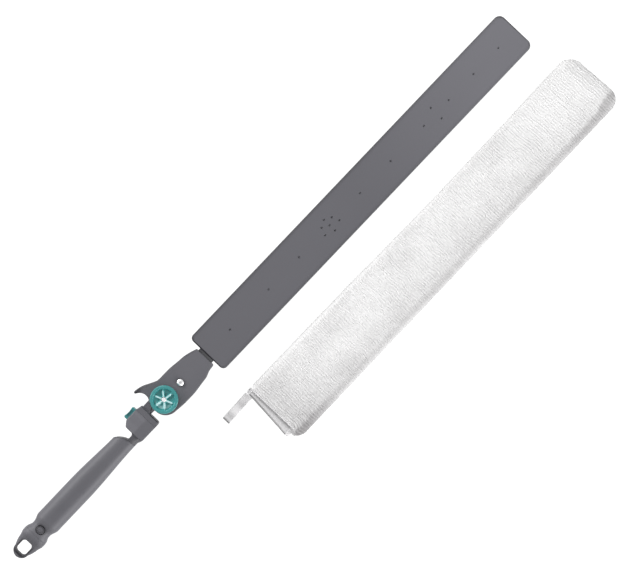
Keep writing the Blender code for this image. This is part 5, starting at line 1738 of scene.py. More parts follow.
@dataclass
class TongueSkin:
    """The head's plug with its collar, tongue and round eye.

    Attributes:
        back: X of the collar's rear side.
        front: X of its front side.
        levels: Y of its lower side, its upper side at the seam and its upper side in front.
        corner: Radius of its lower front corner.
        depth: Half its depth.
        edge: Radius of its long edges, and what is left of it at the seam.
        plug: Rear end, half width and half depth of the plug.
        tongue: Lower and upper Y and half thickness of the tongue.
        eye: Radius of the eye.
        groove: Two opposite corners of the latch's groove.
        through: Heights between which the bore and the groove are cut.
    """

    back: float = -32.1
    front: float = -24.9
    levels: tuple[float, float, float] = (-15.3, 16.1, 14.5)
    corner: float = 3.4
    depth: float = BLOCK_DEPTH
    edge: tuple[float, float] = (1.2, 0.25)
    plug: tuple[float, float, float] = (-53.7, 8.0, 6.5)
    tongue: tuple[float, float, float] = (-0.4, 12.9, 3.5)
    eye: float = 13.0
    groove: tuple = ((-42.3, -9.0), (-39.2, -5.5))
    through: tuple[float, float] = (5.0, 31.0)

    def collar(self) -> bpy.types.Mesh:
        """Shape the collar, with its edges rounded less towards the seam.

        Returns:
            The closed mesh.
        """
        low, high, front_high = self.levels
        lower = rounded(((self.back, low), (self.front, low), (self.front, 0.0)), self.corner)
        upper = rounded(((self.front, 0.0), (self.front, front_high), (self.back, high)), 1.2)
        line = spaced(np.concatenate((lower, upper[1:])), 240)
        edge, seam = self.edge
        soft = seam + (edge - seam) * soft_step(self.back + 0.2, self.back + 2.4, line[:, 0])
        return sliced_block("tongue_skin", line, self.depth, soft,
                            np.arange(self.back + 1.0, self.front, 1.0), np.arange(low + 1.3, high, 1.4))

    def tone(self, points: np.ndarray) -> np.ndarray:
        """Give the lightness: painted shade along the collar's front edge, and a lighter mid tone on the
        tongue.

        Args:
            points: Array of N by 3 points.

        Returns:
            The lightness of each point.
        """
        x, y, z = points.T
        off = np.abs(z - AXIS_HEIGHT)
        front = soft_step(self.front - 1.6, self.front - 0.3, x) * (off > 4.5) * soft_step(2.0, -2.0, y)
        return 0.48 + 0.2 * (off < 4.5) - 0.45 * front

    def build(self) -> None:
        """Join the collar, the plug and the tongue, and cut the bolt's bore and the latch's groove."""
        piece = add_piece(self.collar(), SHADED_GREY)
        rear, side, half = self.plug
        plug = rounded_prism("plug", spaced(rectangle((rear, -side), (self.back + 1.0, side)), 160),
                             AXIS_HEIGHT - half, AXIS_HEIGHT + half, 0.6)
        cut_with(piece, plug, "UNION")
        low, high, thin = self.tongue
        eye = arc((0.0, 0.0), self.eye, np.radians(np.linspace(-175.0, 120.0, 90)))
        line = np.concatenate((((self.front - 1.0, high), (self.front - 1.0, low)), eye,
                               ((-self.eye / 2, high),)))
        blade = rounded_prism("tongue", spaced(line, 300), AXIS_HEIGHT - thin, AXIS_HEIGHT + thin, 0.5)
        cut_with(piece, blade, "UNION")
        cut_with(piece, prism_mesh(circle((0.0, 0.0), BOLT_BORE), *self.through))
        cut_with(piece, prism_mesh(rectangle(*self.groove), *self.through))
        finish_cut(piece, 35.0)
        # Painted light and shade from the tone, and painted shade on turning edges
        shade_points(piece.data, self.tone, edge=0.14)
        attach(piece, BASE)
        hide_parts("pivot_tongue")


@dataclass
class ReleaseSkin:
    """The release button: a dipped pad on a latch plate with a window round the plug.

    Attributes:
        back: X of the pad's rear end.
        front: X of its front end.
        levels: Y of its underside and its top.
        dip: How much lower the middle of its top is.
        half: Half the pad's depth.
        plate: X of the plate's two sides.
        plate_levels: Y of its lower and its upper end.
        rail: Half the plate's depth.
        shoulder: Radius of the pad's shoulders.
        stem: Half depth of the stem between plate and pad, and how much thinner than the plate it is.
        window: Lower Y, upper Y and half depth of the window.
        spring_bore: Radius, lower Y and upper Y of the spring's bore.
    """

    back: float = -48.7
    front: float = -32.5
    levels: tuple[float, float] = (14.2, 21.4)
    dip: float = 0.8
    half: float = 7.0
    plate: tuple[float, float] = (-42.0, -39.5)
    plate_levels: tuple[float, float] = (-9.3, 13.9)
    rail: float = 9.3
    shoulder: float = 2.0
    stem: tuple[float, float] = (6.0, 0.2)
    window: tuple[float, float, float] = (-5.8, 11.8, 6.8)
    spring_bore: tuple[float, float, float] = (2.35, 10.4, 17.6)

    def pad(self) -> bpy.types.Mesh:
        """Shape the pad: round shoulders and a top that dips by a parabola.

        Returns:
            The closed mesh.
        """
        low, high = self.levels
        middle, reach = (self.back + self.front) / 2, (self.front - self.back) / 2
        share = np.linspace(1.0, -1.0, 40)
        top = np.column_stack((middle + share * (reach - self.shoulder), high - self.dip * (1 - share**2)))
        turn = np.linspace(0.0, np.pi / 2, 10)[:-1]
        front = arc((self.front - self.shoulder, high - self.shoulder), self.shoulder, turn)
        rear = front[::-1] * (-1.0, 1.0) + (2 * middle, 0.0)
        line = np.concatenate((((self.back, low), (self.front, low)), front, top, rear))
        return sliced_block("release_skin", spaced(line, 240), self.half, 0.8,
                            np.arange(self.back + 1.0, self.front, 1.0), np.arange(low + 1.0, high, 1.0))

    def tone(self, points: np.ndarray) -> np.ndarray:
        """Give the lightness: painted light at both ends of the pad, painted shade along the middle of its
        dipped top.

        Args:
            points: Array of N by 3 points.

        Returns:
            The lightness of each point.
        """
        x, y, _ = points.T
        middle = np.abs(x - (self.back + self.front) / 2) / (self.front - self.back) * 2
        ends = soft_step(0.45, 0.8, middle)
        return 0.28 + 0.25 * ends - 0.28 * (1 - ends) * soft_step(16.8, 18.4, y)

    def build(self) -> None:
        """Join the pad, the plate and its stem, and cut the window and the spring's bore."""
        rear, fore = self.plate
        low, high = self.plate_levels

        def slab(lower: float, upper: float, half: float, grow: float) -> bpy.types.Mesh:
            """Box between two Y, as thick as the plate and thicker by a length at each side."""
            outline = rectangle((lower, AXIS_HEIGHT - half), (upper, AXIS_HEIGHT + half))
            return prism_mesh(outline, rear - grow, fore + grow, axis=0)

        piece = add_piece(self.pad(), TEAL_KNOB)
        cut_with(piece, slab(low, high, self.rail, 0.0), "UNION")
        stem_half, thinner = self.stem
        cut_with(piece, slab(high - 1.5, self.levels[0] + 1.0, stem_half, -thinner), "UNION")
        cut_with(piece, slab(*self.window, 1.0))
        radius, *ends = self.spring_bore
        cut_with(piece, prism_mesh(circle(((self.back + rear) / 2, AXIS_HEIGHT), radius), *ends, axis=1))
        finish_cut(piece, 35.0)
        shade_points(piece.data, self.tone)
        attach(piece, "release_button")
        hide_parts("release_button")


@dataclass
class ScrewSkin:
    """The clamp screw: a domed head with a hexagon socket on a plain shank.

    Attributes:
        x: X of its axis.
        foot: Height of the shank's end.
        seat: Height of the head's underside.
        shank: Radius of the shank.
        head: Radius and height of the head.
        socket: Width across flats and depth of the socket.
    """

    x: float = SCREW_X
    foot: float = 7.3
    seat: float = 29.3
    shank: float = 1.9
    head: tuple[float, float] = (4.45, 2.6)
    socket: tuple[float, float] = (2.6, 1.4)

    def tone(self, points: np.ndarray) -> np.ndarray:
        """Give the lightness: a painted highlight on the dome, painted shade in the socket, at the rim and on
        the side towards the blade.

        Args:
            points: Array of N by 3 points.

        Returns:
            The lightness of each point.
        """
        x, y, _ = points.T
        far = np.hypot(x - self.x, y)
        rim = 0.55 * soft_step(3.5, 4.3, far) + 0.2 * soft_step(-1.0, 2.5, x - self.x)
        return 0.95 - 0.7 * soft_step(1.8, 1.2, far) - rim

    def build(self) -> None:
        """Turn the screw round its axis and cut its socket."""
        radius, height = self.head
        turn = np.linspace(0.0, np.pi / 2, 14)
        dome = np.column_stack((radius * np.cos(turn), self.seat + height * (0.2 + 0.8 * np.sin(turn))))
        start = ((0.0, self.foot), (self.shank, self.foot), (self.shank, self.seat), (radius, self.seat))
        piece = add_piece(lathe("screw_skin", np.concatenate((start, dome)), self.x), SCREW)
        flats, deep = self.socket
        top = self.seat + height
        cut_with(piece, prism_mesh(circle((self.x, 0.0), flats / math.sqrt(3), 6), top - deep, top + 1.0))
        finish_cut(piece, 35.0)
        shade_points(piece.data, self.tone)
        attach(piece, "head")
        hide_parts("clamp_screw")


@dataclass
class CoilSpring:
    """A coil spring under a button: it shortens as the button goes in.

    Attributes:
        name: Name of the piece.
        node: The CAD node that it stands for.
        body: The body that its far end follows; not used.
        place: Middle of its fixed end.
        axis: The axis it stands along.
        length: Its free length.
        radius: Radius of the wire's path.
        wire: Thickness of the wire.
        turns: Number of its turns.
    """

    name: str
    node: str
    body: str
    place: tuple[float, float, float]
    axis: int
    length: float
    radius: float
    wire: float
    turns: int

    def build(self) -> None:
        """Sweep the wire's round section along a helix."""
        angle = np.linspace(0.0, 2 * np.pi * self.turns, self.turns * 24 + 1)[:, None]
        turn = ring_angles(10, 0.0)[None, :]
        far = self.radius + self.wire / 2 * np.cos(turn)
        rise = self.wire / 2 + (self.length - self.wire) * angle / angle[-1] + self.wire / 2 * np.sin(turn)
        grid = np.stack((rise, far * np.cos(angle), far * np.sin(angle)), axis=-1)
        grid = np.roll(grid, self.axis, axis=-1) + np.array(self.place)
        piece = add_piece(tube_mesh(self.name, grid), SPRING, sharp=60.0)
        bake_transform(piece)
        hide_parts(self.node)


SPRINGS = (
    CoilSpring("snap_coil", "snap_spring", "snap_button", place=(SNAP_X, 0.0, 12.3), axis=2, length=11.3,
               radius=3.2, wire=0.8, turns=5),
    CoilSpring("release_coil", "release_spring", "release_button", place=(-45.35, 10.7, AXIS_HEIGHT), axis=1,
               length=6.6, radius=1.7, wire=0.5, turns=5),
)


@dataclass
class ClampKnob:
    """The six-spoke clamp knob: a smooth rim round a dished face whose spokes meet in a hub.

    Attributes:
        radius: Its radius.
        low: Height of its underside.
        top: Height of its rim.
        dish: Height of the dish's floor.
        rim: Inner radius of the rim's foot.
        hub: Radius and height of the hub.
        spokes: Number of spokes.
        turn: Angle of the first spoke in degrees.
        spoke: Half width of a spoke at the hub and at the rim, and the height of its back.
        shoulder: Width of the rim's outer shoulder.
        drop: How far the shoulder falls on the face, and how far the outer edge falls below it.
        corner: Reach of the outer edge, and how far below it the straight wall starts.
        foot: Radius of the lower edge, and outer radius of the underside's flat ring.
        rest: How far above the lower edge the straight wall ends.
        bore: Radius of the bolt's bore.
        pocket: Floor and top of the nut's pocket.
        sides: Number of points round it.
        light_from: Angle of the side from which painted light falls on its pockets, in degrees.
    """

    radius: float = 17.0
    low: float = 30.8
    top: float = 40.8
    dish: float = 37.9
    rim: float = 12.0
    hub: tuple[float, float] = (4.2, 39.9)
    spokes: int = 6
    turn: float = -10.0
    spoke: tuple[float, float, float] = (1.5, 1.2, 39.85)
    shoulder: float = 2.6
    drop: tuple[float, float] = (0.9, 1.7)
    corner: float = 0.9
    foot: tuple[float, float] = (1.2, 10.0)
    rest: float = 0.2
    bore: float = BOLT_BORE
    pocket: tuple[float, float] = (20.0, 36.2)
    sides: int = 360
    light_from: float = 35.0

    def off_spoke(self, angle: np.ndarray) -> np.ndarray:
        """Measure angles from the nearest spoke's middle."""
        pitch = 2 * np.pi / self.spokes
        return (angle - math.radians(self.turn) + pitch / 2) % pitch - pitch / 2

    def face(self, radius: np.ndarray, angle: np.ndarray) -> np.ndarray:
        """Height of the face: the highest of the dish, the rim, the hub and the spokes.

        The rim is a half sine between its foot and the outer edge's start, a spoke a rounded
        bar of 1 - |across / half width|^3, and the hub a rounded disc.

        Args:
            radius: Distances from the axis.
            angle: Angles round it.

        Returns:
            The height of each place.
        """
        flat = self.radius - self.shoulder
        inside = np.clip((radius - self.rim) / (flat - 0.6 - self.rim), 0.0, 1.0)
        rim = self.dish + (self.top - self.dish) * np.sin(inside * np.pi / 2) ** 1.2
        far = np.clip((radius - flat) / (self.radius - flat), 0.0, 1.0)
        rim = rim - self.drop[0] * (1 - np.sqrt(np.maximum(1 - far**2, 0.0)))
        across = np.abs(radius * np.sin(self.off_spoke(angle)))
        root, end, back = self.spoke
        half = root + (end - root) * np.clip((radius - self.hub[0]) / (self.rim - self.hub[0]), 0.0, 1.0)
        bar = np.clip(1 - (across / (half + 0.35)) ** 3, 0.0, 1.0)
        spoke = self.dish + (back - self.dish) * bar**0.6
        disc = np.clip((self.hub[0] + 0.5 - radius) / 0.7, 0.0, 1.0)
        hub = self.dish + (self.hub[1] - self.dish) * disc**0.6
        return np.maximum(np.maximum(rim, spoke), hub)

    def wall(self, edge_top: float) -> list[tuple[float, float]]:
        """Trace the outer edge, the wall, the lower edge and the underside, down to the bore.

        Args:
            edge_top: Height at which the face ends.

        Returns:
            Radius and height of each ring.
        """
        drop, foot, flat = self.drop[1], *self.foot
        line = [(self.radius - self.corner + self.corner * math.sin(t), edge_top - drop * (1 - math.cos(t)))
                for t in np.linspace(0.2, np.pi / 2, 8)]
        start, end = edge_top - drop - self.corner, self.low + foot + self.rest
        line += [(self.radius, level) for level in np.linspace(start, end, 5)]
        line += [(self.radius - foot * (1 - math.cos(t)), self.low + foot - foot * math.sin(t))
                 for t in np.linspace(0.3, np.pi / 2, 5)]
        return line + [(flat, self.low), (self.bore, self.low)]

    def tone(self, across: np.ndarray, angle: np.ndarray) -> np.ndarray:
        """Give the face's lightness: painted highlights on the spokes' ridges, painted light and shade in the
        pockets as if lit from one side, and a rim with a faint painted shade on one side.

        Args:
            across: Distances from the axis.
            angle: Angles round it.

        Returns:
            The lightness of each place.
        """
        rim = soft_step(self.rim - 1.4, self.rim + 0.6, across)
        side = np.cos(angle - math.radians(self.light_from))
        pocket = 0.38 + 0.26 * soft_step(4.0, 10.0, across) - 0.18 * side
        ridge_highlight = bell(across * np.sin(self.off_spoke(angle)), 0.0, 1.7 - 0.06 * across)
        ridge_highlight = ridge_highlight * soft_step(self.rim + 0.6, self.rim - 2.2, across)
        bar = pocket + (0.97 - pocket) * ridge_highlight
        return bar * (1 - rim) + (0.47 - 0.03 * side) * rim

    def build(self) -> None:
        """Build the knob as one closed tube, from bore to underside, and cut its nut's pocket."""
        angle = ring_angles(self.sides, 0.0)
        flat, edge = self.radius - self.shoulder, self.radius - self.corner
        reach = np.concatenate((np.linspace(self.bore, self.rim, 40), np.linspace(self.rim, flat, 14)[1:],
                                np.linspace(flat, edge, 8)[1:]))
        across, round_it = np.meshgrid(reach, angle, indexing="ij")
        height = self.face(across, round_it)
        face = np.stack((across * np.cos(round_it), across * np.sin(round_it), height), -1)
        wall = [np.column_stack((arc((0.0, 0.0), radius, angle), np.full(self.sides, level)))
                for radius, level in self.wall(float(height[-1].mean()))]
        points = np.concatenate((face, wall))
        mesh = grid_mesh("knob_skin", points, close_rows=True)
        piece = add_piece(mesh, TEAL_KNOB, sharp=50.0)
        light = np.full(points.shape[:2], 0.5)
        light[: len(reach)] = self.tone(across, round_it)
        carry(mesh, "lightness", light)
        cut_with(piece, prism_mesh(circle((0.0, 0.0), BOLT_FLATS / math.sqrt(3), 6), *self.pocket))
        finish_cut(piece, 50.0)
        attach(piece, "knob")
        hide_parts("clamp_knob")


# ---------------------------------------------------------------- fabric


@dataclass
class HemBand:
    """The hem at the sleeve's mouth: a flat tube of tape whose lower layer reaches out as a flap.

    Attributes:
        lower: Y of its lower side.
        upper: Y of its upper side.
        back: X of its rear edge.
        front: X of the flap's front edge at its lower and its upper side.
        upper_front: X of the upper layer's front edge.
        levels: Heights of its underside and its top.
        walls: Thickness of its sides and of its layers.
        lowest: Height below which no point lies.
        sides: Number of points round it.
    """

    lower: float = -139.2
    upper: float = -65.2
    back: float = 80.3
    front: tuple[float, float] = (67.0, 72.6)
    upper_front: float = 79.0
    levels: tuple[float, float] = (1.0, 12.4)
    walls: tuple[float, float] = (4.5, 2.2)
    lowest: float = 0.2
    sides: int = 220

    def build(self) -> None:
        """Build the band as a closed tube: outside, round front lip and inside.

        Each point lies at back + (front - back) * share, where the front edge depends on its side
        and on which layer it is in; the edge wavers a little as cut cloth does.
        """
        unit = superoval(ring_angles(self.sides), 7.0)
        middle = np.array(((self.lower + self.upper) / 2, sum(self.levels) / 2))
        outer = np.array(((self.upper - self.lower) / 2, (self.levels[1] - self.levels[0]) / 2))
        inner = outer - np.array(self.walls)
        share = (unit[:, 0] + 1) / 2
        layer = eased(np.clip((unit[:, 1] + 0.75) / 0.35, 0.0, 1.0))
        waver = lattice_noise(unit[:, 0] * 9 + 20, unit[:, 1] + 3, 31) - 0.5
        front = self.front[0] + (self.front[1] - self.front[0]) * share
        front = front + (self.upper_front - front) * layer + 0.5 * waver
        soft = self.walls[1] / 2
        # Each row: share of the way to the front, how far back the round lip brings it, share of the wall
        rows = [(way, 0.0, 0.0) for way in np.linspace(0.0, 1.0, 20)]
        rows += [(1.0, soft * math.sin(turn), (1 - math.cos(turn)) / 2)
                 for turn in np.linspace(0.0, np.pi, 9)[1:-1]]
        rows += [(way, 0.0, 1.0) for way in np.linspace(1.0, 0.0, 12)]
        points = []
        for way, reach, depth in rows:
            x = self.back + (front + soft - self.back) * way - reach
            flat = unit * (outer + (inner - outer) * depth) + middle
            ripple = 0.22 * (lattice_noise(x / 5.0, unit[:, 0] * 6 + 12, 33) - 0.5) * way
            points.append(np.column_stack((x, flat[:, 0], flat[:, 1] + ripple)))
        grid = np.array(points)
        grid[..., 2] = np.maximum(grid[..., 2], self.lowest)
        mesh = grid_mesh("hem_band", grid, close_rows=True)
        piece = add_piece(mesh, TAPE)
        flap = (layer < 0.05) & (np.abs(unit[:, 0]) < 0.98)
        carry(mesh, "lightness", self.tone(grid, front, flap))
        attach(piece, "sleeve")
        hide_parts("sleeve_hem")

    def tone(self, grid: np.ndarray, front: np.ndarray, flap: np.ndarray) -> np.ndarray:
        """Give the hem's lightness: a line of painted shade along the flap's front edge, light behind it, and
        painted shade low inside the mouth.

        Args:
            grid: The band's points by row and column.
            front: X of the front edge for each column.
            flap: Whether each column belongs to the flap.

        Returns:
            The lightness of each point.
        """
        behind = grid[..., 0] - front[None, :]
        light = 0.95 - 0.85 * soft_step(3.0, 1.3, behind) * flap[None, :]
        return light - 0.45 * soft_step(75.2, 77.4, grid[..., 0]) * (grid[..., 2] < self.levels[0] + 3.5)


@dataclass
class TapeLoop:
    """The hanging loop: a soft tape folded double, closed at the hem and bulging open at its fold.

    Attributes:
        start: X of its fold.
        end: X where it meets the hem.
        lower: Y of its lower edge at the hem.
        width: Width of the tape.
        drift: How much lower in Y the fold lies.
        base: Lowest height.
        bulge: Height of the fold.
        tape: Thickness of the tape.
        tail: Length of the part that lies double.
        lowest: Height below which no point lies.
    """

    start: float = 30.3
    end: float = 71.5
    lower: float = -75.4
    width: float = 10.2
    drift: float = 1.2
    base: float = 0.6
    bulge: float = 8.2
    tape: float = 1.1
    tail: float = 13.0
    lowest: float = 0.25

    def line(self) -> tuple[np.ndarray, int]:
        """Give the middle line of the tape in X and Z, from the hem out below and back above.

        Returns:
            Array of N by 2 points, and how many of them lie below, up to the fold's upper part.
        """
        half = self.tape / 2
        radius = self.bulge / 2 - half
        fold_x, low = self.start + radius + half, self.base + half
        below = np.column_stack((np.linspace(self.end, fold_x, 40), np.full(40, low)))
        turn = np.linspace(0.0, np.pi, 22)[1:]
        fold = np.column_stack((fold_x - radius * np.sin(turn), low + radius * (1 - np.cos(turn))))
        x = np.linspace(fold_x, self.end, 44)[1:]
        keys = ((fold_x, low + 2 * radius), (fold_x + 9.0, low + 2 * radius - 0.3),
                (self.end - self.tail, low + 2.3), (self.end, low + 1.25))
        above = np.column_stack((x, through_keys(keys, x)))
        return np.concatenate((below, fold, above)), len(below) + len(turn) // 2

    def build(self) -> None:
        """Build the tape round its line: a flat rounded section, waved a little and turned at the fold."""
        line, turned = self.line()
        along = np.gradient(line, axis=0)
        along /= np.linalg.norm(along, axis=1, keepdims=True)
        side = np.column_stack((-along[:, 1], along[:, 0]))
        section = superoval(ring_angles(36), 4.0)
        far = np.concatenate(([0.0], np.cumsum(np.linalg.norm(np.diff(line, axis=0), axis=1))))
        share = np.clip((self.end - line[:, 0]) / (self.end - self.start), 0.0, 1.0)
        middle = self.lower + self.width / 2 - self.drift * share
        loose = np.where(np.arange(len(line)) > turned, 1.1, 0.25)[:, None]
        wave = (lattice_noise(far[:, None] / 7.0, section[None, :, 0] * 0.9 + 5, 41) - 0.5) * loose
        across = middle[:, None] + section[None, :, 0] * self.width / 2
        lift = section[None, :, 1] * self.tape / 2 + wave
        x = line[:, :1] + side[:, :1] * lift
        z = np.maximum(line[:, 1:] + side[:, 1:] * lift, self.lowest)
        mesh = tube_mesh("tape_loop", np.stack((x, across, z), axis=-1))
        piece = add_piece(mesh, TAPE, sharp=60.0)
        carry(mesh, "lightness", self.tone(x, across))
        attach(piece, "sleeve")
        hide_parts("sleeve_loop")

    def tone(self, x: np.ndarray, across: np.ndarray) -> np.ndarray:
        """Give the loop's lightness: two patches of painted shade across the tape, painted shade at the fold,
        and a tone that wavers at random.

        Args:
            x: X of its points.
            across: Y of its points.

        Returns:
            The lightness of each point.
        """
        fold = soft_step(self.start + 3.2, self.start + 1.2, x)
        patch_shade = 0.32 * bell(x, 40.0, 4.2) + 0.24 * bell(x, 57.0, 4.0)
        light = 0.86 + 0.24 * (lattice_noise(x / 6.0, across / 12.0, 43) - 0.5) - patch_shade - 0.75 * fold
        return np.clip(light, 0.0, 1.0)


@dataclass
class PileSleeve:
    """The white microfibre sleeve: a plump flat bag with winding strands, open at its mouth.

    Attributes:
        start: X of its mouth.
        length: Its length.
        width: Its width.
        centre: Its middle Y.
        height: Height of the pile's top above the surface.
        seam: Height of its side seams.
        top_edge: Width of its round top edge.
        low_edge: Width of its round lower edge.
        mouth_corner: Corner radius in plan at its mouth.
        corner: Corner radius in plan at its closed end.
        slant: How much further its closed end reaches on the lower side.
        bow: Rows of X and how far out the upper side lies there.
        pocket: Lowest and highest Y of the pocket.
        pocket_low: Height of the pocket's floor.
        pocket_high: Height of the pocket's top.
        pocket_end: X of the pocket's closed end.
        strand: Height of the strands.
        pitch: Distance between strands along the sleeve.
        reach: Length of a strand round the section.
        power: Squareness of the section's round edges.
        fringe: Least and greatest reach of the lip before the mouth.
        floor: Height below which no point lies.
        inner_tone: Lightness of the pocket's painted shade.
    """

    start: float = 80.6
    length: float = 557.8
    width: float = 83.4
    centre: float = -108.8
    height: float = 13.4
    seam: float = 5.0
    top_edge: float = 9.5
    low_edge: float = 4.0
    mouth_corner: float = 6.0
    corner: float = 18.0
    slant: float = 4.4
    bow: tuple = ((80.0, 1.8), (150.0, 1.5), (250.0, 0.9), (310.0, -0.4), (400.0, -1.6), (500.0, -1.2),
                  (600.0, -0.2), (640.0, 0.0))
    pocket: tuple[float, float] = (-141.8, -75.8)
    pocket_low: float = 3.2
    pocket_high: float = 10.2
    pocket_end: float = 619.0
    strand: float = 1.2
    pitch: float = 3.5
    reach: float = 11.0
    power: float = 2.3
    fringe: tuple[float, float] = (1.1, 2.7)
    floor: float = 0.02
    inner_tone: float = 0.35

    def outline(self) -> RoundPlate:
        """Give the sleeve's plan outline, before it is slanted and bowed."""
        return RoundPlate(self.start, self.start + self.length, self.width / 2, self.mouth_corner,
                          self.corner)

    def bend(self, points: np.ndarray) -> np.ndarray:
        """Slant the closed end and bow the upper side, both eased along the length.

        Args:
            points: Array of points, coordinates along the last axis.

        Returns:
            The moved points.
        """
        x, y, z = np.moveaxis(points, -1, 0)
        side = (y - self.centre) / (self.width / 2)
        late = np.clip((x - self.start) / self.length, 0.0, 1.0) ** 4
        out = eased_keys(self.bow, x)[..., 0]
        heel = 4.6 * bell(y - self.centre + self.width / 2, 7.0, 5.0)
        heel = heel * soft_step(self.start + 16.0, self.start, x)
        return np.stack((x - self.slant / 2 * side * late - heel,
                         y + out * np.clip((side + 1) / 2, 0.0, 1.0), z), axis=-1)

    def pile(self, x: np.ndarray, around: np.ndarray) -> np.ndarray:
        """Height of the pile from 0 to 1: rows of round strands that wind, start and stop at random.

        A strand lies across the length. Its profile is 0.5 - 0.5 * cos(2 pi f) for the part f of the pitch,
        its ends round off over its reach, and each strand has a height and a start of its own.

        Args:
            x: Places along the sleeve.
            around: Places round its section, in millimetres.

        Returns:
            The strands' height at each place.
        """
        rows, columns = 509, 257
        table = np.random.default_rng(17).random((rows, columns))
        total = np.zeros(np.shape(x))
        for layer, (pitch, reach, weight) in enumerate(((self.pitch, self.reach, 0.62),
                                                        (self.pitch * 0.78, self.reach * 0.6, 0.46))):
            wind = 3.6 * lattice_noise(x / 17.0, around / 11.0, 51 + layer)
            wind = wind + 0.9 * lattice_noise(x / 5.0, around / 4.2, 61 + layer)
            row = (x + wind) / pitch
            line = np.floor(row).astype(int)
            shift = table[line % rows, 7 + layer] * 5
            seat = around / reach + shift + 0.25 * lattice_noise(x / 3.0, around / 5.0, 71)
            knot = np.floor(seat).astype(int)
            own = table[(line * 3 + layer) % rows, knot % columns]
            body = 0.5 - 0.5 * np.cos(2 * np.pi * (row - line))
            ends = 1 - np.abs(2 * (seat - knot) - 1) ** 4
            total = total + weight * body * (0.35 + 0.65 * ends) * (0.62 + 0.38 * own)
        fluff = lattice_noise(x / 0.9, around / 1.1, 81)
        return np.clip(total * 1.1 + 0.14 * fluff, 0.0, 1.0)

    def tone(self, points: np.ndarray, height: np.ndarray) -> np.ndarray:
        """Paint light on the strands and shade in their gaps, at the mouth, over the lower side and flank,
        and paint light at the closed end and along the upper edge.

        Args:
            points: Points of the pile.
            height: Height of the strands there.

        Returns:
            How light each place is, from 0 to 1.
        """
        x, y, _ = np.moveaxis(points, -1, 0)
        low, high = self.centre - self.width / 2, self.centre + self.width / 2
        end = self.start + self.length
        # Painted shade darkens the lower flank up to a ragged line, which climbs near the closed end
        ragged = 3.0 * lattice_noise(x / 4.0, y / 6.0, 91) + 6.0 * soft_step(596.0, 632.0, x)
        flank = soft_step(low + 11.5 + ragged, low + 5.0 + ragged, y)
        # Painted shade over the lower half, and painted light along the upper edge
        side = soft_step(self.centre, low + 14.0, y)
        brim_light = soft_step(high - 5.0, high - 1.0, y)
        # Painted shade near the mouth, and painted light with less contrast between strands towards the
        # closed end
        dimmed = np.clip((150.0 - x) / 60.0, 0.0, 1.0)
        ends = np.clip(dimmed + np.clip((x - 480.0) / 120.0, 0.0, 1.0), 0.0, 1.0)
        # Painted light over the last part of the closed end
        end_light = soft_step(end - 24.0, end - 8.0, x)
        cloud = lattice_noise(x / 35.0, y / 22.0, 95) + 0.5 * lattice_noise(x / 11.0, y / 9.0, 96) - 0.75
        contrast = 0.38 + 0.12 * dimmed - 0.2 * flank - 0.14 * soft_step(480.0, 620.0, x)
        light = 0.93 - contrast * (0.6 - height) + 0.17 * cloud - 0.17 * side
        light = light - flank * (0.18 + 0.32 * ends)
        light = light - 0.2 * dimmed + 0.12 * soft_step(500.0, 600.0, x)
        return np.clip(light + 0.4 * end_light * (1 - side) + 0.2 * brim_light, 0.0, 1.0)

    def rings(self) -> tuple[np.ndarray, np.ndarray, int]:
        """Work out the outside: rows round the section, over from side to side and back under.

        The top is a power curve of the inset from the outline, the underside a lower one, and
        both swell or sink a little with broad noise.

        Returns:
            Points by row and column, the strands' height there, and the points across.
        """
        outline = self.outline()
        end = self.start + self.length
        x = eased_ends(self.start, end, self.mouth_corner, self.corner, 0.5)
        x = np.unique(np.concatenate((x, np.arange(end - self.corner, end - 1.0, 0.5), (end - 0.02, end))))
        y = outline.rows(x, np.linspace(-1, 1, 89), self.top_edge, 18)
        wide_x = np.broadcast_to(x[:, None], y.shape)
        near_mouth = np.clip((wide_x - self.start) / 4.0, 0.0, 1.0)
        # The section stays full at the mouth and slopes down to the closed end
        side = np.minimum(outline.half - np.abs(y), 30.0) * 0.999
        deep = outline.inset(wide_x, y)
        deep = np.where(wide_x < self.start + self.mouth_corner, np.maximum(deep, side), deep)
        deep = np.where(wide_x > end - 40.0, np.minimum(deep, (end - wide_x) * 0.48), deep)
        bend = np.clip(1 - deep / self.top_edge, 0.0, 1.0)
        swell = lattice_noise(wide_x / 42.0, (y + 60) / 30.0, 21) - 0.5
        flat = 0.5 * soft_step(end - 34.0, end - 16.0, wide_x) + 0.25 * soft_step(0.0, outline.half - 14.0, y)
        crown = (1 - bend**self.power) ** (1 / self.power)
        crown = crown + np.clip(flat, 0.0, 1.0) * (1 - bend**1.3 - crown)
        over_z = self.seam + (self.height - self.strand - self.seam) * crown * (0.93 + 0.07 * near_mouth)
        over_z = over_z + 0.9 * swell * crown - 0.2 * crown
        low_bend = np.clip(1 - deep / self.low_edge, 0.0, 1.0)
        under_z = self.seam * (1 - (1 - low_bend**self.power) ** (1 / self.power)) + 0.35
        over = np.stack((wide_x, y + self.centre, over_z), axis=-1)
        under = np.stack((wide_x, y + self.centre, under_z), axis=-1)[:, ::-1]
        points = self.bend(np.concatenate((over, under), axis=1))
        middle = points[len(x) // 2]
        step = np.linalg.norm(np.diff(middle, axis=0, append=middle[:1]), axis=1)
        around = np.concatenate(([0.0], np.cumsum(step)[:-1]))
        height = self.pile(np.broadcast_to(x[:, None], points.shape[:2]),
                           np.broadcast_to(around[None, :], points.shape[:2]))
        return points, height, y.shape[1]

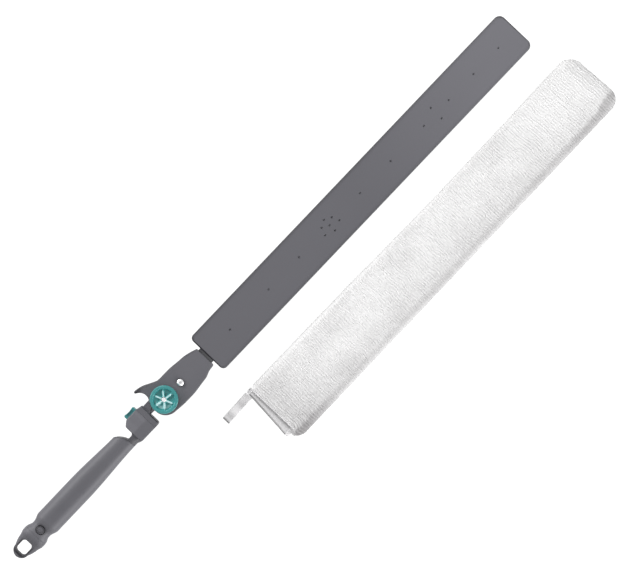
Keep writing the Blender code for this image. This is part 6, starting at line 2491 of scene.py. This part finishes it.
    def inside(self, mouth: np.ndarray, across: int) -> list[np.ndarray]:
        """Work out the inside: a round, fringed lip from the mouth inwards, and the pocket to its closed end.

        Args:
            mouth: The outside's ring at the mouth.
            across: How many points lie over and how many under.

        Returns:
            Rings of points, from the mouth inwards.
        """
        y = np.linspace(*self.pocket, across)
        over = np.column_stack((y, np.full(across, self.pocket_high)))
        under = np.column_stack((y, np.full(across, self.pocket_low)))
        inner = np.concatenate((over, under[::-1]))
        least, most = self.fringe
        fringe = least + (most - least) * lattice_noise(mouth[:, 1] / 1.7, mouth[:, 2] / 3.0, 99)
        rings = []
        for turn in np.linspace(0.15, 1.0, 6) * math.pi:
            share = (1 - math.cos(turn)) / 2
            flat = mouth[:, 1:] * (1 - share) + inner * share
            rings.append(np.column_stack((mouth[:, 0] - fringe * math.sin(turn), flat)))
        for x in np.linspace(self.start + 4.0, self.pocket_end, 24):
            rings.append(np.column_stack((np.full(len(inner), x), inner)))
        closed = rings[-1] + (0.6, 0.0, 0.0)
        closed[:, 2] = (self.pocket_low + self.pocket_high) / 2
        return rings + [closed]

    def build(self) -> None:
        """Build the sleeve: outside with strands, a round lip at its mouth, and the pocket inside."""
        points, height, across = self.rings()
        along = np.gradient(points, axis=0)
        round_it = np.roll(points, -1, axis=1) - np.roll(points, 1, axis=1)
        normal = np.cross(round_it, along)
        length = np.linalg.norm(normal, axis=-1, keepdims=True)
        normal = np.where(length > 1e-9, normal / np.maximum(length, 1e-9), 0.0)
        outward = np.sign((normal[len(points) // 2, across // 2] * (0, 0, 1)).sum())
        lift = np.ones(points.shape[1])
        lift[across:] = 0.4
        raised = points + outward * normal * ((height - 0.5) * self.strand * lift)[..., None]
        raised[..., 2] = np.maximum(raised[..., 2], self.floor)
        inside = self.inside(raised[0], across)
        mesh = grid_mesh("sleeve_pile", np.concatenate((raised[::-1], inside)))
        # The pocket inside carries a flat painted shade
        dimmed = np.full((len(inside), points.shape[1]), self.inner_tone)
        carry(mesh, "strand", np.concatenate((self.tone(points, height)[::-1], dimmed)))
        piece = add_piece(weld(mesh, 0.03), PILE)
        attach(piece, "sleeve")
        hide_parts("sleeve")


# ---------------------------------------------------------------- the set


def white_rays(tree: bpy.types.ShaderNodeTree) -> bpy.types.NodeSocket:
    """Give a socket that is 1 for camera, glossy and transmission rays, and 0 for others.

    Args:
        tree: Nodes that it joins.

    Returns:
        The socket.
    """
    seen = tree.nodes.new("ShaderNodeLightPath")
    total = seen.outputs["Is Camera Ray"]
    for name in ("Is Glossy Ray", "Is Transmission Ray"):
        most = math_node(tree, "MAXIMUM")
        tree.links.new(total, most.inputs[0])
        tree.links.new(seen.outputs[name], most.inputs[1])
        total = most.outputs[0]
    return total


# Name, place in metres, width and height, and power in watts of each softbox
LAMPS = (
    ("upper", (-0.1, 1.5, 0.62), (2.0, 0.5), 29.0),
    ("lower", (0.1, -1.5, 0.5), (2.0, 0.5), 29.0),
    ("spark", (0.35, 0.75, 1.3), (0.12, 0.12), 1.6),
)


@dataclass
class Studio:
    """The camera, the lamps, the white floor and the world.

    Attributes:
        centre: X and Y of the picture's middle in the row frame.
        turn: The camera's turn about the upright, in degrees.
        distance: Distance of the camera from the wand's middle plane.
        view_width: Width of the view there, in metres.
        fill: Strength of the world's light on matt surfaces.
        floor_reach: How far the floor reaches from the middle, in metres.
        floor_drop: How far it lies below the object, in metres.
        floor_grey: Its grey where light falls on it.
        floor_glow: How bright the camera and gloss see it.
    """

    centre: tuple[float, float] = (0.032722, 0.025999)
    turn: float = -46.53
    distance: float = 3.2
    view_width: float = 0.75
    fill: float = 0.3
    floor_reach: float = 6.0
    floor_drop: float = 0.0002
    floor_grey: float = 0.3
    floor_glow: float = 0.92

    def camera(self) -> None:
        """Look straight down, turned so that the wand rises to the right."""
        data = bpy.data.cameras.new("camera")
        data.sensor_width = 36.0
        data.lens = data.sensor_width * self.distance / self.view_width
        data.clip_end = 20.0
        camera = link_object("camera", data)
        camera.location = (*self.centre, AXIS_HEIGHT * MM + self.distance)
        camera.rotation_euler = (0.0, 0.0, math.radians(self.turn))
        bpy.context.scene.camera = camera

    def lamp(self, name: str, place: tuple[float, float, float], size: tuple[float, float],
             power: float) -> None:
        """Hang a softbox that faces the object.

        Args:
            name: Name of the lamp.
            place: Its place in the row frame, in metres.
            size: Its width and height.
            power: Its power in watts.
        """
        data = bpy.data.lights.new(name, "AREA")
        data.shape = "RECTANGLE"
        data.size, data.size_y = size
        data.energy = power
        lamp = link_object(name, data)
        lamp.location = place
        aim = -np.array(place)
        flat = math.hypot(aim[0], aim[1])
        lamp.rotation_euler = (math.atan2(flat, -aim[2]), 0.0, math.atan2(-aim[0], aim[1]) if flat else 0.0)

    def floor(self) -> None:
        """Lay the floor: it shows white to the camera and in gloss, and keeps a faint shadow."""
        mesh = bpy.data.meshes.new("floor")
        reach = self.floor_reach
        mesh.from_pydata([(-reach, -reach, 0), (reach, -reach, 0), (reach, reach, 0), (-reach, reach, 0)], [],
                         [(0, 1, 2, 3)])
        floor = link_object("floor", mesh)
        floor.location.z = -self.floor_drop
        made = bpy.data.materials.new("floor")
        made.use_nodes = True
        nodes, links = made.node_tree.nodes, made.node_tree.links
        nodes.clear()
        matt, glow = nodes.new("ShaderNodeBsdfDiffuse"), nodes.new("ShaderNodeEmission")
        socket_value(matt, Color=(self.floor_grey, self.floor_grey, self.floor_grey, 1.0))
        strength = math_node(made.node_tree, "MULTIPLY")
        strength.inputs[1].default_value = self.floor_glow
        add, out = nodes.new("ShaderNodeAddShader"), nodes.new("ShaderNodeOutputMaterial")
        links.new(white_rays(made.node_tree), strength.inputs[0])
        links.new(strength.outputs[0], glow.inputs["Strength"])
        links.new(matt.outputs[0], add.inputs[0])
        links.new(glow.outputs[0], add.inputs[1])
        links.new(add.outputs[0], out.inputs["Surface"])
        mesh.materials.append(made)

    def world(self) -> None:
        """Surround the set with white that the camera and gloss see, and a dimmer fill."""
        world = bpy.data.worlds.new("studio")
        bpy.context.scene.world = world
        world.use_nodes = True
        nodes, links = world.node_tree.nodes, world.node_tree.links
        back = nodes["Background"]
        socket_value(back, Color=(1.0, 1.0, 1.0, 1.0))
        strength = nodes.new("ShaderNodeMapRange")
        socket_value(strength, To_Min=self.fill, To_Max=1.0)
        links.new(white_rays(world.node_tree), strength.inputs["Value"])
        links.new(strength.outputs[0], back.inputs["Strength"])

    def build(self) -> None:
        """Set the camera first, and then the light and the floor."""
        self.camera()
        self.world()
        self.floor()
        for lamp in LAMPS:
            self.lamp(*lamp)
        bpy.context.scene.view_settings.view_transform = "Standard"


CAD_FINISHES: dict[str, Finish] = {
    "grip": GREY, "hanger_cap": GREY, "snap_button": DARK, "snap_spring": SPRING, "socket_body": GREY,
    "release_button": TEAL, "release_spring": SPRING, "pivot_tongue": GREY, "friction_disc_front": LINING,
    "friction_disc_rear": LINING, "head_front_cheek": GREY, "head_rear_cheek": GREY, "pivot_bolt": STEEL,
    "clamp_knob": TEAL, "knob_nut": BRASS, "knob_washer": STEEL, "clamp_screw": STEEL, "clamp_nut": STEEL,
    "sleeve": PILE, "sleeve_hem": TAPE, "sleeve_loop": TAPE,
}


def dress_nodes(nodes: dict[str, bpy.types.Object]) -> None:
    """Give every CAD node its finish.

    Args:
        nodes: The frame's nodes by name.
    """
    for name, node in nodes.items():
        finish = CAD_FINISHES.get(name)
        if finish is None:
            finish = SHADED_STRIP if name.startswith("core_strip") else BLADE_GREY
        node.data.materials.clear()
        node.data.materials.append(finish.material())
        LOG.info("%s: CAD node in %s", name, finish.name)


def main() -> None:
    """Load the frame, build every piece around it, and light it."""
    logging.basicConfig(level=logging.INFO, format="%(message)s")
    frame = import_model()
    Studio().build()
    dress_nodes(frame["nodes"])
    GripSkin().build()
    CapSkin().build()
    SnapButton().build()
    SocketSkin().build()
    TongueSkin().build()
    ReleaseSkin().build()
    for spring in SPRINGS:
        spring.build()
    for side in Side:
        HeadCheek(side).build()
    ScrewSkin().build()
    ClampKnob().build()
    BladeSkin().build()
    PileSleeve().build()
    HemBand().build()
    TapeLoop().build()


if __name__ == "__main__":
    main()
